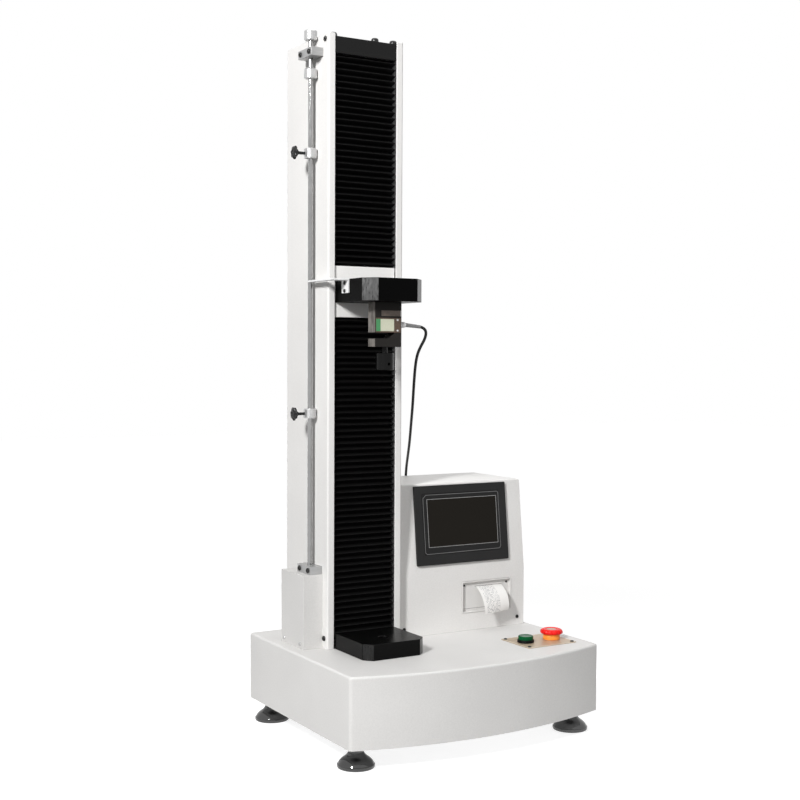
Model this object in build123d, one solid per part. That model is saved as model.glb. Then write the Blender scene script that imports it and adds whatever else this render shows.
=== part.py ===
from build123d import *
import math
import os

# Bench-top universal testing machine with one column, in millimetres.
# X runs to the machine's right, Y to its rear and Z up. The origin is on the
# floor, under the middle of the base.

# General clearances and sheet
running_fit = 0.05
slide_gap = 0.3
seat_gap = 0.02
sheet = 2.0

# Base
base_width = 490.0
base_depth = 420.0
base_bow = 40.0
base_height = 116.0
base_corner_r = 7.0
base_edge_r = 4.0
base_plate_t = 8.0

# Levelling feet
foot_height = 38.0
foot_d = 61.0
foot_rim = 5.0
foot_neck_d = 25.0
foot_belly = 0.6
foot_side_inset = 31.0
foot_front_inset = 36.0
foot_rear_inset = 31.0
stud_d = 12.0
stud_top_spare = 10.0
lock_nut_flats = 19.0
lock_nut_h = 8.0

# Column
column_side_gap = 57.5
column_width = 145.0
column_depth = 158.0
column_height = 1038.0
column_rear_gap = 35.0
flange_w = 13.0
fold_r = 3.0
frame_back = 14.0
cap_drop = 4.0
cap_t = 8.0
cap_skirt = 20.0
cap_skirt_t = 4.0
cap_bolt_d = 13.0
cap_bolt_h = 7.0
cap_bolt_dx = 22.0
cap_end_bolt_dx = 58.0
cap_bolt_inset = 9.0
top_plate_t = 20.0

# Vent slots in the rear covers
vent_w = 60.0
vent_h = 4.0
vent_pitch = 10.0
vent_rows = 6
vent_margin = 40.0

# Guide rails, ball screw and belt drive
rail_w = 15.0
rail_h = 13.0
rail_pitch = 84.0
rail_end_gap = 4.0
carriage_w = 34.0
carriage_rise = 28.0
carriage_lift = 4.0
carriage_l = 38.0
screw_d = 16.0
screw_to_back = 64.0
screw_top_in = 14.0
bearing_w = 76.0
bearing_t = 25.0
bearing_z = 100.0
bearing_nose = 29.0
nut_d = 28.0
nut_flange_d = 46.0
nut_flange_t = 10.0
nut_l = 34.0
pulley_face = 11.0
pulley_flange_t = 1.5
pulley_flange_rise = 3.0
pulley_top_gap = 1.0
driven_pulley_d = 62.6
motor_pulley_d = 30.7
pulley_z = 52.0
belt_t = 2.5
belt_w = 10.0
belt_centres = 140.0
motor_w = 60.0
motor_l = 52.0
encoder_w = 52.0
encoder_l = 14.0
motor_shaft_d = 14.0
motor_corner_r = 6.0
bracket_t = 6.0
pedestal_w = 110.0
pedestal_wall = 10.0
pedestal_top = 12.0

# Bellows
pleat_pitch = 10.5
pleat_depth = 13.0
pleat_skin = 2.5
bellows_set_back = 1.0

# Crosshead and load train
crosshead_z = 761.0
crosshead_w = 114.0
crosshead_h = 38.0
crosshead_reach = 109.0
crosshead_chamfer = 20.0
carriage_plate_h = 86.8
carriage_plate_t = 4.0
carriage_plate_gap = 1.0
carriage_plate_set_back = 4.0
saddle_w = 104.0
saddle_h = 80.0
load_axis_reach = 65.0
cell_w = 50.0
cell_t = 24.0
cell_h = 74.5
cell_arm = 14.0
cell_slot = 9.5
cell_web = 12.0
cell_bolt_d = 10.0
cell_bolt_head_d = 16.0
cell_bolt_head_h = 10.0
cell_bolt_grip = 11.0
cell_bolt_sink = 1.0
adapter_d = 30.0
adapter_h = 28.5
adapter_drop = 10.0
adapter_socket_d = 16.0
adapter_socket_l = 18.0
adapter_pin_d = 5.0
adapter_pin_z = 10.0
gland_d = 10.0
gland_l = 14.0
boot_d = 7.0
boot_bore_l = 6.0

# Lower platen
platen_w = 116.0
platen_d = 110.0
platen_h = 27.0
platen_chamfer = 14.0
platen_corner_r = 4.0
platen_gap = 1.0
platen_hole_d = 17.5

# Limit rod on the left side
rod_d = 8.0
rod_to_side = 11.5
rod_from_front = 44.0
rod_over_column = 11.0
rod_foot_over_base = 22.0
collar_d = 22.0
collar_h = 17.0
collar_chamfer = 1.5
top_collar_down = 18.5
second_collar_down = 82.5
trip_collar_over_base = 52.0
upper_stop_z = 986.5
lower_stop_z = 545.5
guide_w = 22.5
guide_d = 50.0
guide_h = 14.0
upper_guide_down = 36.5
knob_d = 24.0
knob_t = 8.0
knob_reach = 30.0
knob_lobes = 7
knob_lobe_d = 6.0
knob_stem_d = 5.0
knob_stem_in = 5.0
limit_box_w = 36.0
limit_box_d = 87.0
limit_box_h = 126.0
limit_box_front = 17.5
limit_box_wall = 1.5
switch_w = 8.0
switch_d = 20.0
switch_h = 20.0
switch_spread = 20.0
striker_t = 3.0
striker_w = 12.0
striker_tab_w = 23.0
striker_tab_h = 23.5
striker_tab_front = 47.0
striker_side_gap = 5.5
striker_hole_d = 11.0
striker_end_gap = 3.0

# Control box
box_side_gap = 12.6
box_gap = 0.3
box_depth = 168.5
box_rear_gap = 10.0
box_height = 270.0
box_bend = 108.0
box_tilt = 6.3
box_fold_r = 3.0
hmi_w = 197.0
hmi_side_shift = 2.5
hmi_h = 142.0
hmi_proud = 5.0
hmi_bottom = 17.0
hmi_corner_r = 2.0
hmi_body_w = 180.0
hmi_body_h = 122.0
hmi_body_t = 32.0
screen_w = 166.0
screen_h = 109.0
screen_t = 1.5
screen_sink = 2.0
screen_dy = 1.5
printer_side_gap = 83.3
printer_w = 109.0
printer_h = 58.0
printer_z = 214.5
printer_proud = 0.8
printer_recess = 5.0
printer_wall = 2.0
printer_body_w = 84.0
printer_body_h = 50.0
printer_body_d = 36.0
printer_slot_w = 60.0
printer_slot_side = 6.5
printer_slot_h = 3.0
printer_slot_up = 19.0
printer_slot_d = 20.0
paper_w = 56.0
paper_t = 0.4
paper_curl_r = 53.0
paper_curl_start = 24.0
paper_curl_end = 88.0
drive_w = 52.0
drive_d = 110.0
drive_h = 160.0
drive_side_gap = 62.0
inlet_side_gap = 62.4
inlet_z = 192.0
inlet_w = 48.0
inlet_h = 28.0
inlet_margin = 7.0
inlet_flange_t = 2.0
inlet_body_w = 30.0
inlet_body_h = 24.0
inlet_body_d = 24.0
inlet_socket_w = 25.0
inlet_socket_h = 17.0
inlet_socket_d = 18.0
rocker_z = 232.0
rocker_w = 21.0
rocker_h = 14.0
rocker_rise = 4.0
rocker_tilt = 9.0
rocker_swing_gap = 1.2
rocker_pin_d = 3.0
rocker_pin_l = 1.5
plug_side_gap = 104.4
plug_z = 372.0
plug_nut_d = 18.0
plug_nut_l = 9.0
plug_barrel_d = 15.0
plug_barrel_y = 18.0
plug_barrel_rise = 9.0
plug_barrel_drop = 20.0
plug_neck_d = 12.0

# Buttons on the base's top
button_side_gap = 77.5
button_front_gap = 67.0
button_plate_w = 104.5
button_plate_d = 84.5
button_plate_t = 1.0
button_plate_r = 4.0
button_spacing = 56.0
button_hole_d = 22.5
button_barrel_d = 22.0
button_barrel_l = 30.0
start_ring_d = 29.5
start_ring_h = 5.5
start_cap_d = 26.5
start_cap_h = 11.0
start_travel = 4.0
start_stem_d = 10.0
start_stem_l = 16.0
estop_collar_d = 30.0
estop_collar_h = 10.5
estop_head_d = 40.0
estop_skirt_gap = 1.0
estop_dome_r = 5.0
estop_skirt_z = 10.0
estop_travel = 3.0
estop_stem_d = 12.0
estop_stem_l = 24.0
estop_pin_d = 8.0
estop_pin_h = 2.0

# Screw heads
side_screw_inset = 11.0
screw_head_d = 9.0
screw_head_h = 2.8
small_head_d = 6.5
small_head_h = 1.8
tiny_head_d = 4.0
tiny_head_h = 1.2

# Load cell cable: its first points from the boot's lip, and its last ones from the plug's foot
cable_d = 5.0
cable_bend_share = 0.45
cable_from_boot = [
    (30.5, 1.0, -2.75),
    (38.5, 1.4, -4.35),
    (44.5, 3.0, -11.75),
    (44.0, 7.0, -23.25),
    (40.0, 15.0, -36.75),
    (38.0, 22.5, -50.75),
    (42.0, 35.0, -70.75),
    (51.0, 54.0, -101.75),
    (67.0, 84.0, -138.75),
    (88.0, 124.0, -174.75),
]
cable_to_plug = [
    (-93.0, -99.0, 143.0),
    (-70.0, -55.0, 115.0),
    (-50.0, -15.0, 85.0),
    (-43.0, -1.0, 48.0),
    (-41.0, 0.0, -20.0),
    (-40.2, 1.0, -80.0),
    (-40.0, 1.0, -116.0),
    (-28.5, 1.2, -128.0),
    (-11.5, 1.2, -128.0),
    (0.0, 1.0, -116.0),
    (0.3, 0.6, -80.0),
    (0.0, 0.0, -30.0),
    (0.0, 0.0, 0.0),
]

# Places that follow from the sizes above
rear = base_depth / 2
apex = -base_depth / 2
front_corner = apex + base_bow
base_z0 = foot_height
base_z1 = base_z0 + base_height
plate_z1 = base_z0 + base_plate_t
bow_r = (base_width**2 / 4 + base_bow**2) / (2 * base_bow)

column_x = -base_width / 2 + column_side_gap + column_width / 2
col_x0 = column_x - column_width / 2
col_x1 = column_x + column_width / 2
col_y1 = rear - column_rear_gap
col_y0 = col_y1 - column_depth
col_z1 = base_z1 + column_height
rod_top = col_z1 + rod_over_column
rod_foot = base_z1 + rod_foot_over_base
top_collar_z = rod_top - top_collar_down
second_collar_z = rod_top - second_collar_down
trip_collar_z = base_z1 + trip_collar_over_base
upper_guide_z = col_z1 - upper_guide_down
opening_half = column_width / 2 - flange_w
frame_x0 = col_x0 + sheet
frame_x1 = col_x1 - sheet
frame_y0 = col_y0 + sheet
frame_y1 = col_y1 - sheet
frame_top = col_z1 - cap_drop - cap_t
back_face = frame_y1 - frame_back
skirt_z0 = frame_top - cap_skirt
top_plate_z0 = frame_top - top_plate_t

screw_y = back_face - screw_to_back
motor_y = screw_y - belt_centres
pedestal_y0 = col_y0 - platen_gap - platen_d + platen_chamfer
belt_z0 = pulley_z + pulley_flange_t + (pulley_face - belt_w) / 2
bracket_z0 = pulley_z + pulley_face + 2 * pulley_flange_t + pulley_top_gap
bracket_z1 = bracket_z0 + bracket_t

load_y = col_y0 - load_axis_reach
crosshead_z0 = crosshead_z - crosshead_h / 2
crosshead_z1 = crosshead_z + crosshead_h / 2
plate_front = col_y0 + carriage_plate_set_back
plate_back = plate_front + carriage_plate_t
carriage_face = back_face - carriage_rise
saddle_z0 = crosshead_z - saddle_h / 2
saddle_z1 = crosshead_z + saddle_h / 2
cell_z1 = crosshead_z0
cell_z0 = cell_z1 - cell_h
adapter_z1 = cell_z0 - adapter_drop
adapter_z0 = adapter_z1 - adapter_h
bellows_front = col_y0 + sheet + bellows_set_back
bellows_foot = base_z1 + slide_gap
carriage_bottom = crosshead_z - carriage_plate_h / 2 - slide_gap
carriage_top = crosshead_z + carriage_plate_h / 2 + slide_gap

rod_x = col_x0 - rod_to_side
rod_y = col_y0 + rod_from_front
limit_box_z1 = base_z1 + limit_box_h
limit_box_y0 = col_y0 + limit_box_front

box_x0 = col_x1 + box_gap
box_right = base_width / 2 - box_side_gap
box_rear = rear - box_rear_gap
box_front = box_rear - box_depth
box_z1 = base_z1 + box_height
bend_z = base_z1 + box_bend
tilt = math.radians(box_tilt)
box_top_front = box_front + (box_z1 - bend_z) * math.tan(tilt)
hmi_x = (box_x0 + box_right) / 2 + hmi_side_shift
printer_x = box_right - printer_side_gap
slot_x = printer_x + printer_slot_side
drive_x = box_x0 + drive_side_gap
inlet_x = box_right - inlet_side_gap
plug_x = box_right - plug_side_gap
panel_back = box_rear - sheet

boot_lip = (column_x + cell_w / 2 + gland_l, load_y, (cell_z0 + cell_z1) / 2)
plug_foot = (plug_x, box_rear + plug_barrel_y, plug_z - plug_barrel_drop)
button_plate_x = base_width / 2 - button_side_gap
button_plate_y = front_corner + button_front_gap
button_top = base_z1 + button_plate_t
start_x = button_plate_x - button_spacing / 2
estop_x = button_plate_x + button_spacing / 2


def moved_points(start, offsets):
    """Points given as offsets from a start."""
    return [tuple(a + b for a, b in zip(start, offset)) for offset in offsets]


cable_route = moved_points(boot_lip, cable_from_boot) + moved_points(plug_foot, cable_to_plug)


def block(x0, x1, y0, y1, z0, z1):
    """Box between two corners."""
    middle = Pos((x0 + x1) / 2, (y0 + y1) / 2, (z0 + z1) / 2)
    return middle * Box(x1 - x0, y1 - y0, z1 - z0)


def bar_z(x, y, d, z0, z1):
    """Round bar along Z."""
    return Pos(x, y, (z0 + z1) / 2) * Cylinder(d / 2, z1 - z0)


def bar_x(y, z, d, x0, x1):
    """Round bar along X."""
    return Pos((x0 + x1) / 2, y, z) * Rot(0, 90, 0) * Cylinder(d / 2, x1 - x0)


def bar_y(x, z, d, y0, y1):
    """Round bar along Y."""
    return Pos(x, (y0 + y1) / 2, z) * Rot(90, 0, 0) * Cylinder(d / 2, y1 - y0)


def turned(points):
    """Solid of revolution about Z from (radius, height) points."""
    return revolve(make_face(Polyline(*[(r, 0, z) for r, z in points], close=True)), Axis.Z)


def base_outline(inset):
    """Flat outline of the base with its bowed front, moved in by inset."""
    half = base_width / 2 - inset
    radius = bow_r - inset
    centre_y = apex + bow_r
    corner_y = centre_y - math.sqrt(radius**2 - half**2)
    sides = Polyline((-half, corner_y), (-half, rear - inset), (half, rear - inset), (half, corner_y))
    front = ThreePointArc((half, corner_y), (0, apex + inset), (-half, corner_y))
    return make_face([sides, front])


def foot_places():
    """Middles of the four feet, by name."""
    x = base_width / 2 - foot_side_inset
    front = front_corner + foot_front_inset
    back = rear - foot_rear_inset
    return {
        "front_left": (-x, front),
        "front_right": (x, front),
        "rear_left": (-x, back),
        "rear_right": (x, back),
    }


def base_cover():
    """Folded sheet cover of the base, open below and over the column's foot."""
    outer = extrude(base_outline(0), base_height)
    outer = fillet(outer.edges().filter_by(Axis.Z), base_corner_r)
    outer = fillet(outer.edges().group_by(Axis.Z)[-1], base_edge_r)
    inner = extrude(base_outline(sheet), base_height - sheet)
    inner = fillet(inner.edges().filter_by(Axis.Z), base_corner_r - sheet)
    cover = Pos(0, 0, base_z0) * (outer - inner)
    cover -= block(
        frame_x0 - slide_gap, frame_x1 + slide_gap,
        frame_y0 - slide_gap, frame_y1 + slide_gap,
        base_z1 - 2 * sheet, base_z1 + sheet,
    )
    for x in (start_x, estop_x):
        cover -= bar_z(x, button_plate_y, button_hole_d, base_z1 - 2 * sheet, base_z1 + sheet)
    return cover


def base_plate():
    """Steel floor of the base, with a hole for each foot's stud."""
    plate = extrude(base_outline(sheet + slide_gap), base_plate_t)
    plate = Pos(0, 0, base_z0) * fillet(plate.edges().filter_by(Axis.Z), base_corner_r - sheet)
    for x, y in foot_places().values():
        plate -= bar_z(x, y, stud_d + 2 * running_fit, base_z0 - sheet, plate_z1 + sheet)
    return plate


def levelling_foot(x, y):
    """Bell-shaped foot turned in one piece with its stud."""
    neck = foot_neck_d / 2
    neck_z = foot_height - lock_nut_h - slide_gap
    bell_top = neck_z - foot_rim / 2
    lower = Polyline((0, 0, 0), (foot_d / 2, 0, 0), (foot_d / 2, 0, foot_rim))
    middle = ((foot_d / 2 + neck) / 2 + foot_belly, 0, (foot_rim + bell_top) / 2)
    bell = ThreePointArc((foot_d / 2, 0, foot_rim), middle, (neck, 0, bell_top))
    upper = Polyline(
        (neck, 0, bell_top), (neck, 0, neck_z), (stud_d / 2, 0, neck_z),
        (stud_d / 2, 0, plate_z1 + stud_top_spare), (0, 0, plate_z1 + stud_top_spare), (0, 0, 0),
    )
    return Pos(x, y, 0) * revolve(make_face([lower, bell, upper]), Axis.Z)


def lock_nuts():
    """One hexagon nut under the base plate at each foot."""
    hexagon = RegularPolygon(lock_nut_flats / 2, 6, major_radius=False)
    nut = extrude(hexagon - Circle(stud_d / 2 + running_fit), lock_nut_h)
    return [Pos(x, y, base_z0 - lock_nut_h) * nut for x, y in foot_places().values()]


def column_frame():
    """Aluminium channel that carries the rails, open to the front."""
    channel = block(frame_x0, frame_x1, frame_y0, frame_y1, plate_z1, frame_top)
    hollow = block(
        column_x - opening_half, column_x + opening_half,
        frame_y0 - sheet, back_face, plate_z1 - sheet, frame_top + sheet,
    )
    return channel - hollow


def side_panel(side):
    """Side panel of the column with its folded front flange; side is -1 or +1."""
    outer_x = column_x + side * column_width / 2
    inner_x = outer_x - side * sheet
    flange_x = outer_x - side * flange_w
    profile = Polyline(
        (outer_x, col_y1), (outer_x, col_y0), (flange_x, col_y0), (flange_x, frame_y0),
        (inner_x, frame_y0), (inner_x, col_y1), close=True,
    )
    panel = extrude(make_face(profile), column_height)
    corner = panel.edges().filter_by(Axis.Z).sort_by_distance((outer_x, col_y0, column_height / 2))[0]
    return Pos(0, 0, base_z1) * fillet(corner, fold_r)


def vent_slots(x, y, first_z):
    """Cutters for a column of level slots through a sheet that starts at y."""
    half = vent_w / 2
    slots = []
    for i in range(vent_rows):
        z = first_z + i * vent_pitch
        slots.append(block(x - half, x + half, y - sheet, y + 2 * sheet, z - vent_h / 2, z + vent_h / 2))
    return slots


def column_rear_cover():
    """Flat rear cover with rows of vent slots near its foot and head."""
    cover = block(frame_x0, frame_x1, frame_y1, col_y1, base_z1, col_z1)
    for first in (base_z1 + vent_margin, col_z1 - vent_margin - (vent_rows - 1) * vent_pitch):
        cover -= vent_slots(column_x, frame_y1, first)
    return cover


def column_top_cap():
    """Black cap on the channel's head, with a skirt in the front opening."""
    cap = block(
        frame_x0 + slide_gap, frame_x1 - slide_gap, frame_y0, frame_y1, frame_top, frame_top + cap_t
    )
    reach = opening_half - slide_gap
    cap += block(
        column_x - reach, column_x + reach, frame_y0, frame_y0 + cap_skirt_t, skirt_z0, frame_top
    )
    return cap


def cap_bolt_places():
    """Bolts near the cap's front corners, and two on a diagonal between them."""
    front = frame_y0 + cap_bolt_inset
    return [
        (column_x + cap_bolt_dx, front),
        (column_x - cap_end_bolt_dx, front),
        (column_x + cap_end_bolt_dx, front),
        (column_x - cap_bolt_dx, back_face - cap_bolt_inset),
    ]


def screw_bearings():
    """Top plate and lower bracket that hold the ball screw."""
    bore = screw_d + 2 * running_fit
    reach = opening_half - slide_gap
    top = block(
        column_x - reach, column_x + reach, frame_y0 + cap_skirt_t + slide_gap, back_face,
        top_plate_z0, frame_top,
    )
    top -= bar_z(column_x, screw_y, bore, top_plate_z0 - sheet, top_plate_z0 + screw_top_in + sheet)
    low = block(
        column_x - bearing_w / 2, column_x + bearing_w / 2, screw_y - bearing_nose, back_face,
        bearing_z, bearing_z + bearing_t,
    )
    low = fillet(low.edges().filter_by(Axis.Z).group_by(Axis.Y)[0], bearing_nose / 2)
    low -= bar_z(column_x, screw_y, bore, bearing_z - sheet, bearing_z + bearing_t + sheet)
    return [top, low]


def linear_rails():
    """Two profiled rails on the channel's back wall."""
    z0 = base_z1 + rail_end_gap
    z1 = top_plate_z0 - rail_end_gap
    rails = []
    for side in (-1, 1):
        x = column_x + side * rail_pitch / 2
        rails.append(block(x - rail_w / 2, x + rail_w / 2, back_face - rail_h, back_face, z0, z1))
    return rails


def guide_carriages():
    """Four bearing carriages, each with a groove for its rail."""
    carriages = []
    for side in (-1, 1):
        for end in (-1, 1):
            x = column_x + side * rail_pitch / 2
            z = crosshead_z + end * (saddle_h - carriage_l) / 2
            z0 = z - carriage_l / 2
            z1 = z + carriage_l / 2
            half = carriage_w / 2
            body = block(x - half, x + half, carriage_face, back_face - carriage_lift, z0, z1)
            slot = rail_w / 2 + slide_gap
            groove = block(
                x - slot, x + slot, back_face - rail_h - slide_gap, back_face, z0 - sheet, z1 + sheet
            )
            carriages.append(body - groove)
    return carriages


def ball_screw():
    """Ball screw from the belt pulley up into the top plate."""
    return bar_z(column_x, screw_y, screw_d, pulley_z, top_plate_z0 + screw_top_in)


def ball_nut():
    """Flanged nut under the saddle, round the ball screw."""
    flange_z0 = saddle_z0 - nut_flange_t
    nut = bar_z(column_x, screw_y, nut_flange_d, flange_z0, saddle_z0)
    nut += bar_z(column_x, screw_y, nut_d, saddle_z0, saddle_z0 + nut_l)
    return nut - bar_z(
        column_x, screw_y, screw_d + 2 * running_fit, flange_z0 - sheet, saddle_z0 + nut_l + sheet
    )


def belt_pulley(y, face_d):
    """Flanged belt pulley at the foot of a vertical shaft."""
    flange_d = face_d + 2 * pulley_flange_rise
    z1 = pulley_z + pulley_flange_t
    z2 = z1 + pulley_face
    wheel = bar_z(column_x, y, flange_d, pulley_z, z1)
    wheel += bar_z(column_x, y, face_d, z1, z2)
    return wheel + bar_z(column_x, y, flange_d, z2, z2 + pulley_flange_t)


def driven_pulley():
    """Large pulley on the ball screw's foot."""
    bore = screw_d + 2 * seat_gap
    return belt_pulley(screw_y, driven_pulley_d) - bar_z(column_x, screw_y, bore, base_z0, base_z1)


def timing_belt():
    """Belt loop round both pulleys."""
    inner_a = driven_pulley_d / 2 + slide_gap
    inner_b = motor_pulley_d / 2 + slide_gap

    def loop(grow):
        driven = Pos(column_x, screw_y) * Circle(inner_a + grow)
        motor = Pos(column_x, motor_y) * Circle(inner_b + grow)
        return make_hull(driven.edges() + motor.edges())

    return Pos(0, 0, belt_z0) * extrude(loop(belt_t) - loop(0), belt_w)


def drive_motor():
    """Square servo motor with its encoder housing, shaft down."""
    z1 = bracket_z1 + motor_l
    body = extrude(RectangleRounded(motor_w, motor_w, motor_corner_r), motor_l)
    encoder = extrude(RectangleRounded(encoder_w, encoder_w, motor_corner_r), encoder_l)
    motor = Pos(column_x, motor_y, bracket_z1) * body + Pos(column_x, motor_y, z1) * encoder
    bore = motor_shaft_d + 2 * running_fit
    return motor - bar_z(column_x, motor_y, bore, bracket_z1 - sheet, bracket_z1 + motor_l / 2)


def motor_pulley():
    """Motor shaft turned in one piece with its belt pulley."""
    shaft = bar_z(column_x, motor_y, motor_shaft_d, pulley_z, bracket_z1 + motor_l / 2 - sheet)
    return shaft + belt_pulley(motor_y, motor_pulley_d)


def platen_pedestal():
    """Welded bridge in the base under the lower platen, with the motor's shelf across it."""
    half = pedestal_w / 2
    z1 = base_z1 - sheet
    bridge = block(column_x - half, column_x + half, pedestal_y0, frame_y0 - slide_gap, plate_z1, z1)
    hollow = half - pedestal_wall
    bridge -= block(
        column_x - hollow, column_x + hollow, pedestal_y0 - sheet, frame_y0 + sheet,
        plate_z1 - sheet, z1 - pedestal_top,
    )
    shelf = block(
        column_x - hollow, column_x + hollow, motor_y - motor_w / 2 - bracket_t,
        motor_y + motor_w / 2 + bracket_t, bracket_z0, bracket_z1,
    )
    shaft_hole = motor_shaft_d + 2 * bracket_t
    return bridge + shelf - bar_z(column_x, motor_y, shaft_hole, bracket_z0 - sheet, bracket_z1 + sheet)


def bellows(z0, z1):
    """Pleated cover in the column's opening: a folded skin between two heights."""
    pleats = round((z1 - z0) / pleat_pitch)
    step = (z1 - z0) / pleats
    front = []
    for i in range(pleats):
        front.append((bellows_front + pleat_depth, z0 + i * step))
        front.append((bellows_front, z0 + (i + 0.5) * step))
    front.append((bellows_front + pleat_depth, z1))
    back = [(y + pleat_skin, z) for y, z in reversed(front)]
    reach = opening_half - slide_gap
    outline = Polyline(*[(column_x - reach, y, z) for y, z in front + back], close=True)
    return extrude(make_face(outline), 2 * reach, dir=(1, 0, 0))


def chamfered_block(width, y0, y1, z0, z1, chamfer_size):
    """Block on the column's middle plane with its two front corners cut off."""
    solid = block(column_x - width / 2, column_x + width / 2, y0, y1, z0, z1)
    return chamfer(solid.edges().filter_by(Axis.Z).group_by(Axis.Y)[0], chamfer_size)


def lower_platen():
    """Lower platen with the tapped hole on the load axis."""
    y1 = col_y0 - platen_gap
    z1 = base_z1 + platen_h
    platen = chamfered_block(platen_w, y1 - platen_d, y1, base_z1, z1, platen_chamfer)
    platen = fillet(platen.edges().filter_by(Axis.Z).group_by(Axis.Y)[0:2], platen_corner_r)
    return platen - bar_z(column_x, load_y, platen_hole_d, base_z1 - sheet, z1 + sheet)


def carriage_plate():
    """White plate between the two bellows."""
    reach = opening_half - carriage_plate_gap
    half = carriage_plate_h / 2
    return block(
        column_x - reach, column_x + reach, plate_front, plate_back, crosshead_z - half, crosshead_z + half
    )


def saddle():
    """Block behind the carriage plate that rides on the four carriages."""
    half = saddle_w / 2
    body = block(column_x - half, column_x + half, plate_back, carriage_face, saddle_z0, saddle_z1)
    nut_hole = nut_d + 2 * seat_gap
    return body - bar_z(column_x, screw_y, nut_hole, saddle_z0 - sheet, saddle_z1 + sheet)


def crosshead_block():
    """Black crosshead with a counterbored hole for the load cell's bolt."""
    solid = chamfered_block(
        crosshead_w, plate_front - crosshead_reach - carriage_plate_set_back, plate_front,
        crosshead_z0, crosshead_z1, crosshead_chamfer,
    )
    bolt_hole = cell_bolt_d + 2 * seat_gap
    solid -= bar_z(column_x, load_y, bolt_hole, crosshead_z0 - sheet, crosshead_z1 + sheet)
    head_z = crosshead_z1 - cell_bolt_sink - cell_bolt_head_h
    head_hole = cell_bolt_head_d + 2 * slide_gap
    return solid - bar_z(column_x, load_y, head_hole, head_z, crosshead_z1 + sheet)


def load_cell():
    """S-shaped load cell: three arms joined by two webs on opposite sides."""
    x0 = column_x - cell_w / 2
    x1 = column_x + cell_w / 2
    y0 = load_y - cell_t / 2
    y1 = load_y + cell_t / 2
    cell = block(x0, x1, y0, y1, cell_z0, cell_z1)
    top_slot = cell_z1 - cell_arm
    cell -= block(x0 + cell_web, x1 + sheet, y0 - sheet, y1 + sheet, top_slot - cell_slot, top_slot)
    low_slot = cell_z0 + cell_arm
    slot_end = x1 - cell_web
    slanted = Polyline(
        (x0 - sheet, y0 - sheet, low_slot), (slot_end - cell_slot, y0 - sheet, low_slot),
        (slot_end, y0 - sheet, low_slot + cell_slot), (x0 - sheet, y0 - sheet, low_slot + cell_slot),
        close=True,
    )
    cell -= extrude(make_face(slanted), cell_t + 2 * sheet, dir=(0, 1, 0))
    hole = cell_bolt_d + 2 * seat_gap
    cell -= bar_z(column_x, load_y, hole, cell_z0 - sheet, cell_z0 + cell_bolt_grip + seat_gap)
    return cell - bar_z(column_x, load_y, hole, cell_z1 - cell_bolt_grip - seat_gap, cell_z1 + sheet)


def load_cell_bolts():
    """Bolt down through the crosshead, and the stud below the cell."""
    head_z1 = crosshead_z1 - cell_bolt_sink
    head_z0 = head_z1 - cell_bolt_head_h
    bolt = bar_z(column_x, load_y, cell_bolt_d, cell_z1 - cell_bolt_grip, head_z0)
    bolt += bar_z(column_x, load_y, cell_bolt_head_d, head_z0, head_z1)
    stud_z0 = adapter_z1 - (adapter_h - adapter_socket_l) / 2
    stud = bar_z(column_x, load_y, cell_bolt_d, stud_z0, cell_z0 + cell_bolt_grip)
    return [bolt, stud]


def grip_adapter():
    """Round adapter with a socket below, a cross hole for its pin and a stud hole above."""
    adapter = bar_z(column_x, load_y, adapter_d, adapter_z0, adapter_z1)
    adapter = chamfer(adapter.edges().filter_by(GeomType.CIRCLE), collar_chamfer / 2)
    adapter -= bar_z(
        column_x, load_y, adapter_socket_d, adapter_z0 - sheet, adapter_z0 + adapter_socket_l
    )
    pin_z = adapter_z0 + adapter_pin_z
    adapter -= bar_y(column_x, pin_z, adapter_pin_d, load_y - adapter_d, load_y + adapter_d)
    stud_z0 = adapter_z1 - (adapter_h - adapter_socket_l) / 2
    hole = cell_bolt_d + 2 * seat_gap
    return adapter - bar_z(column_x, load_y, hole, stud_z0 - seat_gap, adapter_z1 + sheet)


def cable_gland():
    """Screwed gland on the load cell's right side."""
    x0 = column_x + cell_w / 2
    z = boot_lip[2]
    gland = bar_x(load_y, z, gland_d, x0, boot_lip[0])
    return gland - bar_x(load_y, z, boot_d + 2 * seat_gap, boot_lip[0] - boot_bore_l, boot_lip[0] + sheet)


def cable_boot():
    """Grey strain-relief tube from the gland to the cable's first point."""
    lip = Vector(*boot_lip)
    mouth = Vector(*cable_route[0])
    straight = bar_x(lip.Y, lip.Z, boot_d, lip.X - boot_bore_l, lip.X)
    drooped = loft([
        Plane(lip, z_dir=(1, 0, 0)) * Circle(boot_d / 2),
        Plane(mouth, z_dir=cable_direction()) * Circle(boot_d / 2),
    ])
    return straight + drooped


def cable_direction():
    """Direction in which the cable leaves the boot."""
    return Vector(*cable_route[1]) - Vector(*cable_route[0])


def cable_radii():
    """Bend radius at each inner point of the cable's route."""
    points = [Vector(*p) for p in cable_route]
    radii = []
    for before, here, after in zip(points, points[1:], points[2:]):
        turn = math.radians((here - before).get_angle(after - here))
        shorter = min((here - before).length, (after - here).length)
        radii.append(cable_bend_share * shorter / math.tan(turn / 2))
    return radii


def load_cell_cable():
    """Round cable along its route, with arcs between the runs."""
    path = FilletPolyline(*cable_route, radius=cable_radii())
    section = Plane(path @ 0, z_dir=path % 0) * Circle(cable_d / 2)
    return sweep(section, path)


def signal_plug():
    """Right-angled plug on the control box's rear: coupling nut and upright barrel."""
    nut = bar_y(plug_x, plug_z, plug_nut_d, box_rear, box_rear + plug_nut_l)
    barrel_y = box_rear + plug_barrel_y
    barrel = bar_z(
        plug_x, barrel_y, plug_barrel_d, plug_z - plug_barrel_drop, plug_z + plug_barrel_rise
    )
    return nut + bar_y(plug_x, plug_z, plug_neck_d, box_rear + plug_nut_l / 2, barrel_y) + barrel


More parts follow.
